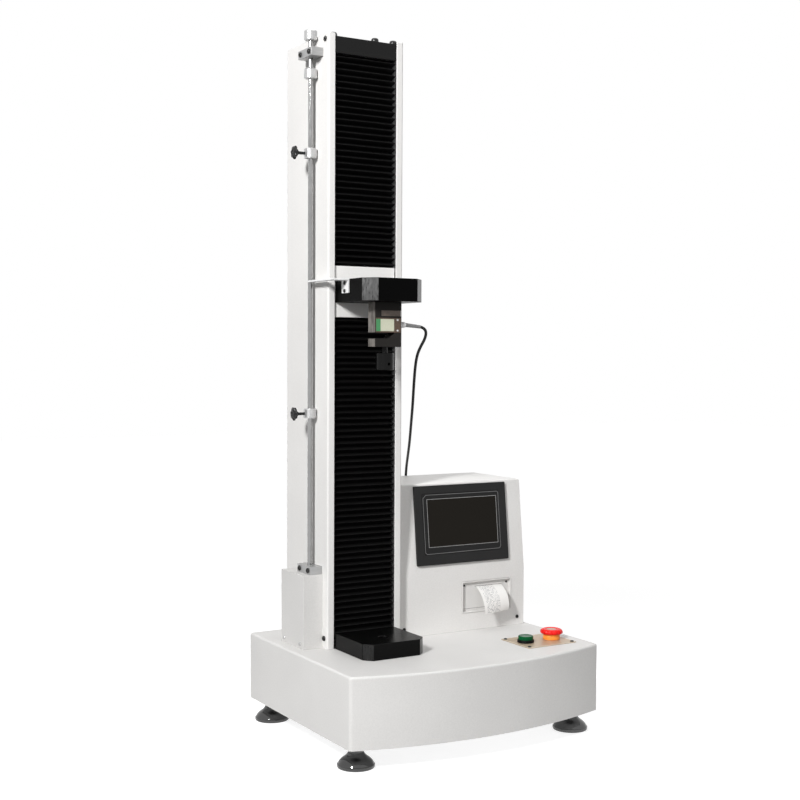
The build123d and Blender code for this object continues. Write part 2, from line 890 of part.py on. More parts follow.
def limit_rod():
    """Long bright rod that the stops slide on."""
    return bar_z(rod_x, rod_y, rod_d, rod_foot, rod_top)


def collar(z0, bore_gap):
    """Chamfered collar on the limit rod."""
    ring = chamfer(
        bar_z(rod_x, rod_y, collar_d, z0, z0 + collar_h).edges().filter_by(GeomType.CIRCLE), collar_chamfer
    )
    return ring - bar_z(rod_x, rod_y, rod_d + 2 * bore_gap, z0 - sheet, z0 + collar_h + sheet)


def rod_collars():
    """Collars fixed to the rod: two about the upper guide and one that trips the switches."""
    return [collar(z, seat_gap) for z in (top_collar_z, second_collar_z, trip_collar_z)]


def stop_collar(z0):
    """Stop that slides on the rod, with a cross hole for its clamp screw."""
    hole = knob_stem_d + 2 * running_fit
    tip = rod_x - collar_d / 2 + knob_stem_in + seat_gap
    return collar(z0, running_fit) - bar_x(rod_y, z0 + collar_h / 2, hole, rod_x - collar_d, tip)


def stop_knob(z0):
    """Lobed knob with the clamp screw that holds a stop."""
    z = z0 + collar_h / 2
    lobe = knob_lobe_d / 2
    outline = Circle(knob_d / 2 - lobe / 2)
    ring = PolarLocations(knob_d / 2 - lobe, knob_lobes)
    outline += [place * Circle(lobe) for place in ring]
    head = extrude(outline, knob_t)
    head = Pos(rod_x - knob_reach - knob_t / 2, rod_y, z) * Rot(0, 90, 0) * head
    stem_x1 = rod_x - collar_d / 2 + knob_stem_in
    return head + bar_x(rod_y, z, knob_stem_d, rod_x - knob_reach, stem_x1)


def guide_block(z0):
    """Block on the column's side that guides the limit rod."""
    body = block(col_x0 - guide_w, col_x0, rod_y - guide_d / 2, rod_y + guide_d / 2, z0, z0 + guide_h)
    return body - bar_z(rod_x, rod_y, rod_d + 2 * running_fit, z0 - sheet, z0 + guide_h + sheet)


def limit_switch_cover():
    """Sheet cover over the limit switches, open towards the column."""
    x0 = col_x0 - limit_box_w
    y1 = limit_box_y0 + limit_box_d
    wall = limit_box_wall
    cover = block(x0, col_x0, limit_box_y0, y1, base_z1, limit_box_z1)
    cover -= block(
        x0 + wall, col_x0 + wall, limit_box_y0 + wall, y1 - wall, base_z1 - wall, limit_box_z1 - wall
    )
    return cover - bar_z(rod_x, rod_y, rod_d + 2 * wall, limit_box_z1 - 2 * wall, limit_box_z1 + wall)


def limit_switches():
    """Two switches on the column's side, above and below the trip collar."""
    y0 = rod_y + collar_d / 2 + slide_gap
    middle = trip_collar_z + collar_h / 2
    switches = []
    for side in (-1, 1):
        z = middle + side * switch_spread
        switches.append(
            block(col_x0 - switch_w, col_x0, y0, y0 + switch_d, z - switch_h / 2, z + switch_h / 2)
        )
    return switches


def striker_arm():
    """Bent strip from the crosshead's left side to the limit rod, its end cut out round the rod."""
    face_x = column_x - crosshead_w / 2
    inner_x = col_x0 - striker_side_gap
    tab_y0 = col_y0 - striker_tab_front
    tab_y1 = tab_y0 + striker_tab_w
    top = crosshead_z1
    arm = block(
        face_x - striker_t, face_x, tab_y0, tab_y1, top - striker_tab_h, top
    )
    arm += block(inner_x - striker_w, face_x, tab_y0, tab_y1, top - striker_t, top)
    arm += block(inner_x - striker_w, inner_x, tab_y0, rod_y - striker_end_gap, top - striker_t, top)
    return arm - bar_z(rod_x, rod_y, striker_hole_d, top - 2 * striker_t, top + striker_t)


def box_profile(inset):
    """Side profile of the control box in Y and Z, moved in by inset except at rear and bottom."""
    lean = inset / math.cos(tilt)
    top = box_z1 - inset
    return [
        (box_front + inset, base_z1),
        (box_front + inset, bend_z - inset * math.tan(tilt / 2)),
        (box_front + lean + (top - bend_z) * math.tan(tilt), top),
        (box_rear, top),
        (box_rear, base_z1),
    ]


def box_prism(inset, x0, x1):
    """Solid of the control box's profile between two X planes."""
    outline = Polyline(*[(x0, y, z) for y, z in box_profile(inset)], close=True)
    return extrude(make_face(outline), x1 - x0, dir=(1, 0, 0))


def hmi_place(up, out):
    """Place on the tilted front: up along it from the bend, and out from its face."""
    y = box_front + up * math.sin(tilt)
    z = bend_z + up * math.cos(tilt)
    origin = Vector(hmi_x, y, z) + Vector(0, -math.cos(tilt), math.sin(tilt)) * out
    return Plane(origin, x_dir=(1, 0, 0), z_dir=(0, -math.cos(tilt), math.sin(tilt)))


def control_box():
    """Folded sheet housing of the controller, open at its rear and foot."""
    outer = box_prism(0, box_x0, box_right)
    top_edges = outer.edges().group_by(Axis.Z)[-1]
    keep_sharp = top_edges.group_by(Axis.Y)[-1]
    outer = fillet([edge for edge in top_edges if edge not in keep_sharp], box_fold_r)
    shell = outer - box_prism(sheet, box_x0 + sheet, box_right - sheet)
    window = hmi_place(hmi_bottom + hmi_h / 2, 0) * Box(
        hmi_body_w + 2 * slide_gap, hmi_body_h + 2 * slide_gap, 4 * sheet
    )
    half_w = printer_w / 2
    half_h = printer_h / 2
    slot = block(
        printer_x - half_w, printer_x + half_w, box_front - sheet, box_front + 2 * sheet,
        printer_z - half_h, printer_z + half_h,
    )
    return shell - window - slot


def rear_panel():
    """Rear panel of the control box, with a cut-out for the mains inlet."""
    x0 = box_x0 + sheet + slide_gap
    x1 = box_right - sheet - slide_gap
    panel = block(x0, x1, panel_back, box_rear, base_z1, box_z1 - sheet - slide_gap)
    panel -= vent_slots(drive_x + drive_w / 2, panel_back, base_z1 + drive_h - vent_margin)
    half = inlet_body_w / 2 + slide_gap
    return panel - block(
        inlet_x - half, inlet_x + half, panel_back - sheet, box_rear + sheet,
        inlet_z - inlet_body_h / 2 - slide_gap, rocker_z + rocker_h / 2 + inlet_margin,
    )


def hmi_bezel():
    """Touch panel housing: a proud bezel with a sunk screen and a body behind it."""
    middle = hmi_bottom + hmi_h / 2
    face = hmi_place(middle, 0) * extrude(RectangleRounded(hmi_w, hmi_h, hmi_corner_r), hmi_proud)
    body = hmi_place(middle, -hmi_body_t / 2) * Box(hmi_body_w, hmi_body_h, hmi_body_t)
    pocket = hmi_place(middle, hmi_proud) * Pos(0, screen_dy, 0) * Box(
        screen_w + 2 * slide_gap, screen_h + 2 * slide_gap, 2 * screen_sink
    )
    return face + body - pocket


def hmi_screen():
    """Glass of the touch screen, seated in the bezel's pocket."""
    place = hmi_place(hmi_bottom + hmi_h / 2, hmi_proud - screen_sink + screen_t / 2)
    return place * Pos(0, screen_dy, 0) * Box(screen_w, screen_h, screen_t)


def printer_housing():
    """Panel printer: a shallow tray in the box's front, its body behind and a slot for the paper."""
    y0 = box_front - printer_proud
    back = box_front + printer_recess
    half_w = printer_w / 2 - slide_gap
    half_h = printer_h / 2 - slide_gap
    unit = block(
        printer_x - half_w, printer_x + half_w, y0, back + printer_wall,
        printer_z - half_h, printer_z + half_h,
    )
    half_w -= printer_wall
    half_h -= printer_wall
    unit -= block(
        printer_x - half_w, printer_x + half_w, y0 - sheet, back, printer_z - half_h, printer_z + half_h
    )
    half_w = printer_body_w / 2
    half_h = printer_body_h / 2
    unit += block(
        printer_x - half_w, printer_x + half_w, back, back + printer_body_d,
        printer_z - half_h, printer_z + half_h,
    )
    half_w = printer_slot_w / 2
    slot_z = printer_z + printer_slot_up
    return unit - block(
        slot_x - half_w, slot_x + half_w, back - sheet, back + printer_slot_d,
        slot_z - printer_slot_h / 2, slot_z + printer_slot_h / 2,
    )


def printer_paper():
    """Strip of paper that runs out of the printer's slot, over its lip and down."""
    lip_y = box_front + printer_recess
    start = math.radians(paper_curl_start)
    centre_y = lip_y + paper_curl_r * math.sin(start)
    under_z = printer_z + printer_slot_up - printer_slot_h / 2
    centre_z = under_z - paper_curl_r * math.cos(start)

    def edge(radius):
        places = []
        for degrees in (paper_curl_start, (paper_curl_start + paper_curl_end) / 2, paper_curl_end):
            angle = math.radians(degrees)
            places.append((centre_y - radius * math.sin(angle), centre_z + radius * math.cos(angle)))
        inside = (lip_y + printer_slot_d, places[0][1])
        p = [(slot_x - paper_w / 2, y, z) for y, z in [inside, *places]]
        return [Line(p[0], p[1]), ThreePointArc(p[1], p[2], p[3])], p[0], p[3]

    inner, inner_start, inner_end = edge(paper_curl_r)
    outer, outer_start, outer_end = edge(paper_curl_r + paper_t)
    ends = [Line(inner_start, outer_start), Line(inner_end, outer_end)]
    return extrude(make_face(inner + outer + ends), paper_w, dir=(1, 0, 0))


def motor_drive():
    """Servo drive standing on the base inside the control box."""
    y1 = panel_back - sheet
    return block(drive_x, drive_x + drive_w, y1 - drive_d, y1, base_z1, base_z1 + drive_h)


def power_inlet():
    """Mains inlet with its switch frame in one moulding: flange, socket and rocker well."""
    half_w = inlet_w / 2
    flange_z1 = rocker_z + rocker_h / 2 + inlet_margin
    mouth = box_rear + inlet_flange_t
    unit = block(
        inlet_x - half_w, inlet_x + half_w, box_rear, mouth, inlet_z - inlet_h / 2, flange_z1
    )
    unit += block(
        inlet_x - inlet_body_w / 2, inlet_x + inlet_body_w / 2, box_rear - inlet_body_d, box_rear,
        inlet_z - inlet_body_h / 2, flange_z1 - sheet,
    )
    unit -= block(
        inlet_x - inlet_socket_w / 2, inlet_x + inlet_socket_w / 2, mouth - inlet_socket_d, mouth + sheet,
        inlet_z - inlet_socket_h / 2, inlet_z + inlet_socket_h / 2,
    )
    well_w = rocker_w / 2
    well_h = rocker_h / 2 + slide_gap
    unit -= block(
        inlet_x - well_w, inlet_x + well_w, box_rear - inlet_body_d + sheet, mouth + sheet,
        rocker_z - well_h, rocker_z + well_h,
    )
    pin = rocker_pin_d + 2 * running_fit
    reach = well_w + rocker_pin_l + slide_gap
    return unit - bar_x(box_rear - sheet, rocker_z, pin, inlet_x - reach, inlet_x + reach)


def power_rocker():
    """Rocker of the mains switch, tipped to its off side, with its pivot pins."""
    half_w = rocker_w / 2 - slide_gap
    half_h = rocker_h / 2 - rocker_swing_gap
    pivot_y = box_rear - sheet
    crown = pivot_y + rocker_rise + sheet
    profile = Polyline(
        (0, pivot_y - rocker_rise, rocker_z - half_h / 2), (0, pivot_y + sheet, rocker_z - half_h),
        (0, crown, rocker_z - half_h), (0, crown - rocker_rise / 2, rocker_z),
        (0, crown, rocker_z + half_h), (0, pivot_y + sheet, rocker_z + half_h),
        (0, pivot_y - rocker_rise, rocker_z + half_h / 2), close=True,
    )
    rocker = extrude(make_face(profile), half_w, dir=(1, 0, 0), both=True)
    rocker = Pos(inlet_x, 0, 0) * rocker
    reach = rocker_w / 2 + rocker_pin_l
    rocker += bar_x(pivot_y, rocker_z, rocker_pin_d, inlet_x - reach, inlet_x + reach)
    return rocker.rotate(Axis((inlet_x, pivot_y, rocker_z), (1, 0, 0)), rocker_tilt)


def button_plate():
    """Bronze plate that carries the two buttons."""
    plate = extrude(RectangleRounded(button_plate_w, button_plate_d, button_plate_r), button_plate_t)
    plate = Pos(button_plate_x, button_plate_y, base_z1) * plate
    for x in (start_x, estop_x):
        plate -= bar_z(x, button_plate_y, button_hole_d, base_z1 - sheet, button_top + sheet)
    return plate


def button_barrel(x):
    """Threaded barrel of a button, through the plate and the cover."""
    return bar_z(x, button_plate_y, button_barrel_d, button_top - button_barrel_l, button_top)


def start_button_ring():
    """Black ring and barrel of the start button, with a well for its cap."""
    y = button_plate_y
    ring = bar_z(start_x, y, start_ring_d, button_top, button_top + start_ring_h) + button_barrel(start_x)
    well = start_cap_d + 2 * slide_gap
    ring -= bar_z(start_x, y, well, button_top + slide_gap, button_top + start_ring_h + sheet)
    bore = start_stem_d + 2 * running_fit
    return ring - bar_z(start_x, y, bore, button_top - button_barrel_l + sheet, button_top + sheet)


def start_button_cap():
    """Green cap of the start button on its stem."""
    y = button_plate_y
    z0 = button_top + start_travel + 2 * slide_gap
    cap = bar_z(start_x, y, start_cap_d, z0, z0 + start_cap_h - start_travel)
    cap = fillet(cap.edges().filter_by(GeomType.CIRCLE).group_by(Axis.Z)[-1], sheet)
    return cap + bar_z(start_x, y, start_stem_d, z0 - start_stem_l, z0)


def estop_collar():
    """Yellow collar and barrel of the emergency stop."""
    y = button_plate_y
    ring = bar_z(estop_x, y, estop_collar_d, button_top, button_top + estop_collar_h)
    ring += button_barrel(estop_x)
    bore = estop_stem_d + 2 * running_fit
    z0 = button_top - button_barrel_l + sheet
    return ring - bar_z(estop_x, y, bore, z0, button_top + estop_collar_h + sheet)


def estop_stem():
    """Plunger of the emergency stop, with the pivot that its head turns on."""
    y = button_plate_y
    z1 = button_top + estop_collar_h + estop_travel + slide_gap
    stem = bar_z(estop_x, y, estop_stem_d, z1 - estop_stem_l, z1)
    return stem + bar_z(estop_x, y, estop_pin_d, z1, z1 + estop_pin_h)


def estop_head():
    """Red mushroom head, hollow below so that it reaches round the collar."""
    inner_d = estop_collar_d + 2 * estop_skirt_gap
    z0 = button_top + estop_skirt_z
    roof = button_top + estop_collar_h + estop_travel + 2 * slide_gap
    top = roof + estop_pin_h + sheet
    y = button_plate_y
    head = bar_z(estop_x, y, estop_head_d, z0, top)
    head = fillet(head.edges().filter_by(GeomType.CIRCLE).group_by(Axis.Z)[-1], estop_dome_r)
    head -= bar_z(estop_x, y, inner_d, z0 - sheet, roof)
    pin = estop_pin_d + 2 * running_fit
    return head - bar_z(estop_x, y, pin, roof - sheet, roof + estop_pin_h)


def screw_head(diameter, height):
    """Button head standing on the XY plane."""
    head = Pos(0, 0, height / 2) * Cylinder(diameter / 2, height)
    return fillet(head.edges().filter_by(GeomType.CIRCLE).group_by(Axis.Z)[-1], height / 2)


def black_screws():
    """Dark screws of the column, cap, guide blocks, control box and printer."""
    head = screw_head(screw_head_d, screw_head_h)
    small = screw_head(small_head_d, small_head_h)
    to_left = Rot(0, -90, 0)
    to_right = Rot(0, 90, 0)
    to_front = Rot(90, 0, 0)
    side_y = col_y0 + side_screw_inset
    heads = []
    for z in (base_z1 + flange_w + screw_head_d / 2, col_z1 - screw_head_d):
        heads.append(Pos(col_x0, side_y, z) * to_left * head)
        if z > box_z1:
            heads.append(Pos(col_x1, side_y, z) * to_right * head)
    for z0 in (limit_box_z1, upper_guide_z):
        for side in (-1, 1):
            y = rod_y + side * (guide_d / 2 - screw_head_d)
            heads.append(Pos(col_x0 - guide_w, y, z0 + guide_h / 2) * to_left * head)
    corner = flange_w + sheet
    for x in (box_x0 + corner, box_right - corner):
        heads.append(Pos(x, box_front, base_z1 + corner) * to_front * small)
    tiny = screw_head(tiny_head_d, tiny_head_h)
    for side in (-1, 1):
        x = printer_x + side * (printer_w / 2 - 2 * tiny_head_d)
        z = printer_z + printer_h / 2 - 2 * tiny_head_d
        heads.append(Pos(x, box_front + printer_recess, z) * to_front * tiny)
    for x, y in cap_bolt_places():
        heads.append(Pos(x, y, frame_top + cap_t) * screw_head(cap_bolt_d, cap_bolt_h))
    return heads


def bright_screws():
    """Bright screws of the limit switch cover, button plate and rear panel."""
    small = screw_head(small_head_d, small_head_h)
    heads = []
    for y in (limit_box_y0 + flange_w, limit_box_y0 + limit_box_d - flange_w):
        heads.append(Pos(col_x0 - limit_box_w, y, base_z1 + small_head_d + sheet) * Rot(0, -90, 0) * small)
    dx = button_plate_w / 2 - small_head_d
    dy = button_plate_d / 2 - small_head_d
    for sx in (-1, 1):
        for sy in (-1, 1):
            heads.append(Pos(button_plate_x + sx * dx, button_plate_y + sy * dy, button_top) * small)
    for x in (box_x0 + flange_w, box_right - flange_w):
        for z in (base_z1 + flange_w, box_z1 - flange_w):
            heads.append(Pos(x, box_rear, z) * Rot(-90, 0, 0) * small)
    return heads


def striker_screws():
    """Two screws that hold the striker arm to the crosshead."""
    small = screw_head(small_head_d, small_head_h)
    x = column_x - crosshead_w / 2 - striker_t
    y = col_y0 - striker_tab_front + striker_tab_w / 2
    middle = crosshead_z1 - (striker_tab_h + striker_t) / 2
    return [Pos(x, y, middle + side * small_head_d) * Rot(0, -90, 0) * small for side in (-1, 1)]


nodes = {
    "base_cover": base_cover(),
    "base_plate": base_plate(),
    "column_frame": column_frame(),
    "column_left_panel": side_panel(-1),
    "column_right_panel": side_panel(1),
    "column_rear_cover": column_rear_cover(),
    "column_top_cap": column_top_cap(),
    "screw_bearings": screw_bearings(),
    "linear_rails": linear_rails(),
    "upper_bellows": bellows(carriage_top, skirt_z0),
    "lower_bellows": bellows(bellows_foot, carriage_bottom),
    "platen_pedestal": platen_pedestal(),
    "lower_platen": lower_platen(),
    "drive_motor": drive_motor(),
    "motor_pulley": motor_pulley(),
    "timing_belt": timing_belt(),
    "driven_pulley": driven_pulley(),
    "ball_screw": ball_screw(),
    "ball_nut": ball_nut(),
    "guide_carriages": guide_carriages(),
    "saddle": saddle(),
    "carriage_plate": carriage_plate(),
    "crosshead_block": crosshead_block(),
    "load_cell": load_cell(),
    "crosshead_fasteners": load_cell_bolts() + striker_screws(),
    "grip_adapter": grip_adapter(),
    "cable_gland": [cable_gland(), cable_boot()],
    "load_cell_cable": load_cell_cable(),
    "signal_plug": signal_plug(),
    "striker_arm": striker_arm(),
    "limit_rod": limit_rod(),
    "rod_collars": rod_collars(),
    "upper_stop_collar": stop_collar(upper_stop_z),
    "upper_stop_knob": stop_knob(upper_stop_z),
    "lower_stop_collar": stop_collar(lower_stop_z),
    "lower_stop_knob": stop_knob(lower_stop_z),
    "rod_guide_blocks": [guide_block(limit_box_z1), guide_block(upper_guide_z)],
    "limit_switch_cover": limit_switch_cover(),
    "limit_switches": limit_switches(),
    "control_box": control_box(),
    "rear_panel": rear_panel(),
    "hmi_bezel": hmi_bezel(),
    "hmi_screen": hmi_screen(),
    "printer_housing": printer_housing(),
    "printer_paper": printer_paper(),
    "motor_drive": motor_drive(),
    "power_inlet": power_inlet(),
    "power_rocker": power_rocker(),
    "button_plate": button_plate(),
    "start_button_ring": start_button_ring(),
    "start_button_cap": start_button_cap(),
    "estop_collar": estop_collar(),
    "estop_stem": estop_stem(),
    "estop_head": estop_head(),
    "black_screws": black_screws(),
    "bright_fasteners": bright_screws() + lock_nuts(),
}
for name, (x, y) in foot_places().items():
    nodes["foot_" + name] = levelling_foot(x, y)

os.makedirs("parts", exist_ok=True)
for name, solid in nodes.items():
    shape = Compound(children=solid) if isinstance(solid, list) else solid
    export_step(shape, os.path.join("parts", name + ".step"))

print("cable bend radii", [round(r, 1) for r in cable_radii()])
tube = nodes["load_cell_cable"]
tube_length = FilletPolyline(*cable_route, radius=cable_radii()).length
print("cable length", round(tube_length, 1), "volume ratio",
      round(tube.volume / (math.pi * cable_d**2 / 4 * tube_length), 4))
print("nodes", len(nodes))
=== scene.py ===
import math
import random

import bmesh
import bpy
from mathutils import Matrix, Vector


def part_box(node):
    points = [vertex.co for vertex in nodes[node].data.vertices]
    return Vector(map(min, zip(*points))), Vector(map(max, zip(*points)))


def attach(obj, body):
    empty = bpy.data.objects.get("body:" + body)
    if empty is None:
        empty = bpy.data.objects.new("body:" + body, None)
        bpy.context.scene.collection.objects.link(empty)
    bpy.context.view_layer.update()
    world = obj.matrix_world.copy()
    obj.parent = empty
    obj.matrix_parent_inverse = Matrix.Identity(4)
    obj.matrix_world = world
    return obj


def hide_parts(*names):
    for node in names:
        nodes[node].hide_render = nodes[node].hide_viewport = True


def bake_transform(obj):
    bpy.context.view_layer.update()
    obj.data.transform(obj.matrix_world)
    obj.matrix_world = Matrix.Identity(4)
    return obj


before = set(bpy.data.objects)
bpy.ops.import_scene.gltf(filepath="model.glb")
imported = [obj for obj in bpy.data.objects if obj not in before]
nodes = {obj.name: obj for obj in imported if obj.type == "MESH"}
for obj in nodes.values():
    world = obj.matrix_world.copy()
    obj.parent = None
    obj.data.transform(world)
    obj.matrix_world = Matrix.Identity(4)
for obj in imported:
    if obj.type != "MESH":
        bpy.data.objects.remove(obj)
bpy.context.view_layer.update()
scene = bpy.context.scene
scene.view_settings.view_transform = "Standard"
MM = 0.001


# Camera, light and floor

def add_camera():
    """Camera at the photograph's place and angle."""
    data = bpy.data.cameras.new("camera")
    data.sensor_width = 36.0
    data.lens = 58.655
    data.shift_x = -0.00058
    data.shift_y = 0.00426
    right = Vector((0.860421, -0.509564, 0.004533))
    up = Vector((0.014747, 0.033792, 0.99932))
    turn = Matrix((right, up, right.cross(up))).transposed()
    camera = bpy.data.objects.new("camera", data)
    place = (-1.20005, -1.93205, 0.65307)
    camera.matrix_world = Matrix.Translation(place) @ turn.to_4x4()
    scene.collection.objects.link(camera)
    scene.camera = camera


def add_area(name, place, target, width, height, power, spread=180):
    """Soft lamp that faces a point."""
    data = bpy.data.lights.new(name, "AREA")
    data.shape = "RECTANGLE"
    data.size = width
    data.size_y = height
    data.energy = power
    data.spread = math.radians(spread)
    lamp = bpy.data.objects.new(name, data)
    aim = Vector(target) - Vector(place)
    lamp.matrix_world = Matrix.Translation(place) @ aim.to_track_quat("-Z", "Y").to_matrix().to_4x4()
    scene.collection.objects.link(lamp)


def wire(tree, kind, **values):
    """New node with settings and inputs: i0 is the input with that number, and a value that is a socket is linked."""
    node = tree.nodes.new(kind)
    for key, value in values.items():
        if key in node.bl_rna.properties:
            setattr(node, key, value)
            continue
        socket = node.inputs[int(key[1:]) if key[1:].isdigit() else key.replace("_", " ")]
        if isinstance(value, bpy.types.NodeSocket):
            tree.links.new(value, socket)
        else:
            socket.default_value = value
    return node


def math_node(tree, operation, a, b):
    return wire(tree, "ShaderNodeMath", operation=operation, i0=a, i1=b).outputs[0]


def mix_colours(tree, share, first, second):
    return wire(tree, "ShaderNodeMix", data_type="RGBA", i0=share, i6=first, i7=second).outputs[2]


def eased(tree, value, near, far, start, end):
    """Amount that goes smoothly from a start to an end, as a value goes from near to far."""
    return wire(
        tree, "ShaderNodeMapRange", interpolation_type="SMOOTHSTEP", Value=value,
        From_Min=near, From_Max=far, To_Min=start, To_Max=end,
    ).outputs[0]


def toward(tree, direction, way, near, far, amount):
    """Amount that grows as a direction turns towards a given way."""
    dot = wire(tree, "ShaderNodeVectorMath", operation="DOT_PRODUCT", i0=direction, i1=way)
    return eased(tree, dot.outputs["Value"], near, far, 0.0, amount)


def background_rays(tree):
    """1 for the rays that show the white background: those of the camera, through glass and in reflections."""
    path = wire(tree, "ShaderNodeLightPath").outputs
    seen = math_node(tree, "MAXIMUM", path["Is Camera Ray"], path["Is Transmission Ray"])
    return math_node(tree, "MAXIMUM", seen, path["Is Glossy Ray"])


WHITE = (1.0, 1.0, 1.0, 1.0)
AMBIENT = 0.02
# Way, cosines at which the light begins and is full, and amount
AMBIENT_LOBES = (
    ((0.50, -0.84, 0.20), 0.0, 1.0, 0.42),
    ((-0.40, -0.90, 0.10), 0.3, 1.0, 0.30),
    ((0.35, 0.93, 0.05), 0.0, 1.0, 0.46),
)


def add_world():
    """White background, and a plain light on the object that differs from side to side."""
    world = bpy.data.worlds.new("studio")
    scene.world = world
    world.use_nodes = True
    tree = world.node_tree
    direction = wire(tree, "ShaderNodeTexCoord").outputs["Generated"]
    ambient = AMBIENT
    for lobe in AMBIENT_LOBES:
        ambient = math_node(tree, "ADD", toward(tree, direction, *lobe), ambient)
    level = math_node(tree, "MAXIMUM", ambient, background_rays(tree))
    background = tree.nodes["Background"]
    background.inputs["Color"].default_value = WHITE
    tree.links.new(level, background.inputs["Strength"])


def add_floor():
    """Floor of the background's white, a little darker near the machine, which keeps the machine's shadow."""
    size = 8.0
    data = bpy.data.meshes.new("floor")
    corners = [(-size, -size, 0), (size, -size, 0), (size, size, 0), (-size, size, 0)]
    data.from_pydata(corners, [], [(0, 1, 2, 3)])
    floor = bpy.data.objects.new("floor", data)
    scene.collection.objects.link(floor)
    material = bpy.data.materials.new("floor_white")
    material.use_nodes = True
    tree = material.node_tree
    shader = tree.nodes["Principled BSDF"]
    shader.inputs["Roughness"].default_value = 1.0
    shader.inputs["Specular IOR Level"].default_value = 0.0
    shader.inputs["Emission Color"].default_value = WHITE
    place = wire(tree, "ShaderNodeTexCoord").outputs["Object"]
    distance = wire(tree, "ShaderNodeVectorMath", operation="LENGTH", i0=place).outputs["Value"]
    tree.links.new(eased(tree, distance, 0.5, 1.6, 0.52, 0.04), shader.inputs["Base Color"])
    glow = math_node(tree, "MULTIPLY", background_rays(tree), eased(tree, distance, 0.4, 1.8, 0.76, 1.0))
    tree.links.new(glow, shader.inputs["Emission Strength"])
    data.materials.append(material)


add_camera()
add_world()
add_floor()
add_area("key", (-2.17, -1.36, 1.88), (-0.15, 0.05, 1.10), width=0.32, height=0.48, power=60.0, spread=150)
add_area("overhead", (0.30, 0.20, 2.65), (0.05, 0.0, 0.2), width=1.6, height=1.6, power=20.5)


# Finishes

TONE_SCALE = 7.0


def grey(level, warm=0.0):
    return (level * (1 + warm), level, level * (1 - warm))


def finish(name, dark, light, rough, metallic=0.0, grain=500.0, relief=0.0, stretch=(1.0, 1.0, 1.0), **sockets):
    """Finish whose colour and roughness drift with broad tone and fine grain, with a fine relief."""
    material = bpy.data.materials.new(name)
    material.use_nodes = True
    tree = material.node_tree
    shader = tree.nodes["Principled BSDF"]
    place = wire(tree, "ShaderNodeTexCoord").outputs["Object"]
    along = wire(tree, "ShaderNodeMapping", Vector=place, Scale=stretch).outputs[0]
    broad = wire(tree, "ShaderNodeTexNoise", Vector=place, Scale=TONE_SCALE, Detail=2.0).outputs["Fac"]
    fine = wire(tree, "ShaderNodeTexNoise", Vector=along, Scale=grain, Detail=3.0).outputs["Fac"]
    both = math_node(tree, "ADD", math_node(tree, "MULTIPLY", broad, 0.5), math_node(tree, "MULTIPLY", fine, 0.5))
    share = wire(tree, "ShaderNodeMapRange", Value=both, From_Min=0.35, From_Max=0.65).outputs[0]
    tree.links.new(mix_colours(tree, share, (*dark, 1.0), (*light, 1.0)), shader.inputs["Base Color"])
    dull = wire(
        tree, "ShaderNodeMapRange", Value=fine, From_Min=0.3, From_Max=0.7, To_Min=rough[0], To_Max=rough[1]
    )
    tree.links.new(dull.outputs[0], shader.inputs["Roughness"])
    if relief:
        bump = wire(tree, "ShaderNodeBump", Strength=1.0, Distance=relief, Height=fine)
        tree.links.new(bump.outputs[0], shader.inputs["Normal"])
    shader.inputs["Metallic"].default_value = metallic
    for key, value in sockets.items():
        shader.inputs[key.replace("_", " ")].default_value = value
    return material


def tint(material, share, colour):
    """Lays a colour over a finish, by a share that may differ from place to place."""
    tree = material.node_tree
    base = tree.nodes["Principled BSDF"].inputs["Base Color"]
    tree.links.new(mix_colours(tree, share, base.links[0].from_socket, colour), base)


def faced(material, ways, dark, light, rough, metallic, grain, stretch):
    """Gives the faces that look in some ways a machined finish of their own."""
    tree = material.node_tree
    shader = tree.nodes["Principled BSDF"]
    place = wire(tree, "ShaderNodeTexCoord").outputs["Object"]
    normal = wire(tree, "ShaderNodeNewGeometry").outputs["True Normal"]
    mask = 0.0
    for way in ways:
        mask = math_node(tree, "MAXIMUM", toward(tree, normal, way, 0.94, 0.99, 1.0), mask)
    along = wire(tree, "ShaderNodeMapping", Vector=place, Scale=stretch).outputs[0]
    fine = wire(tree, "ShaderNodeTexNoise", Vector=along, Scale=grain, Detail=4.0).outputs["Fac"]
    share = wire(tree, "ShaderNodeMapRange", Value=fine, From_Min=0.32, From_Max=0.68).outputs[0]
    tint(material, mask, mix_colours(tree, share, (*dark, 1.0), (*light, 1.0)))
    base = shader.inputs["Roughness"].links[0].from_socket
    dull = wire(tree, "ShaderNodeMapRange", Value=fine, To_Min=rough[0], To_Max=rough[1]).outputs[0]
    mixed = wire(tree, "ShaderNodeMix", data_type="FLOAT", i0=mask, i2=base, i3=dull).outputs[0]
    tree.links.new(mixed, shader.inputs["Roughness"])
    start = shader.inputs["Metallic"].default_value
    metal = wire(tree, "ShaderNodeMapRange", Value=mask, To_Min=start, To_Max=metallic).outputs[0]
    tree.links.new(metal, shader.inputs["Metallic"])
    return material


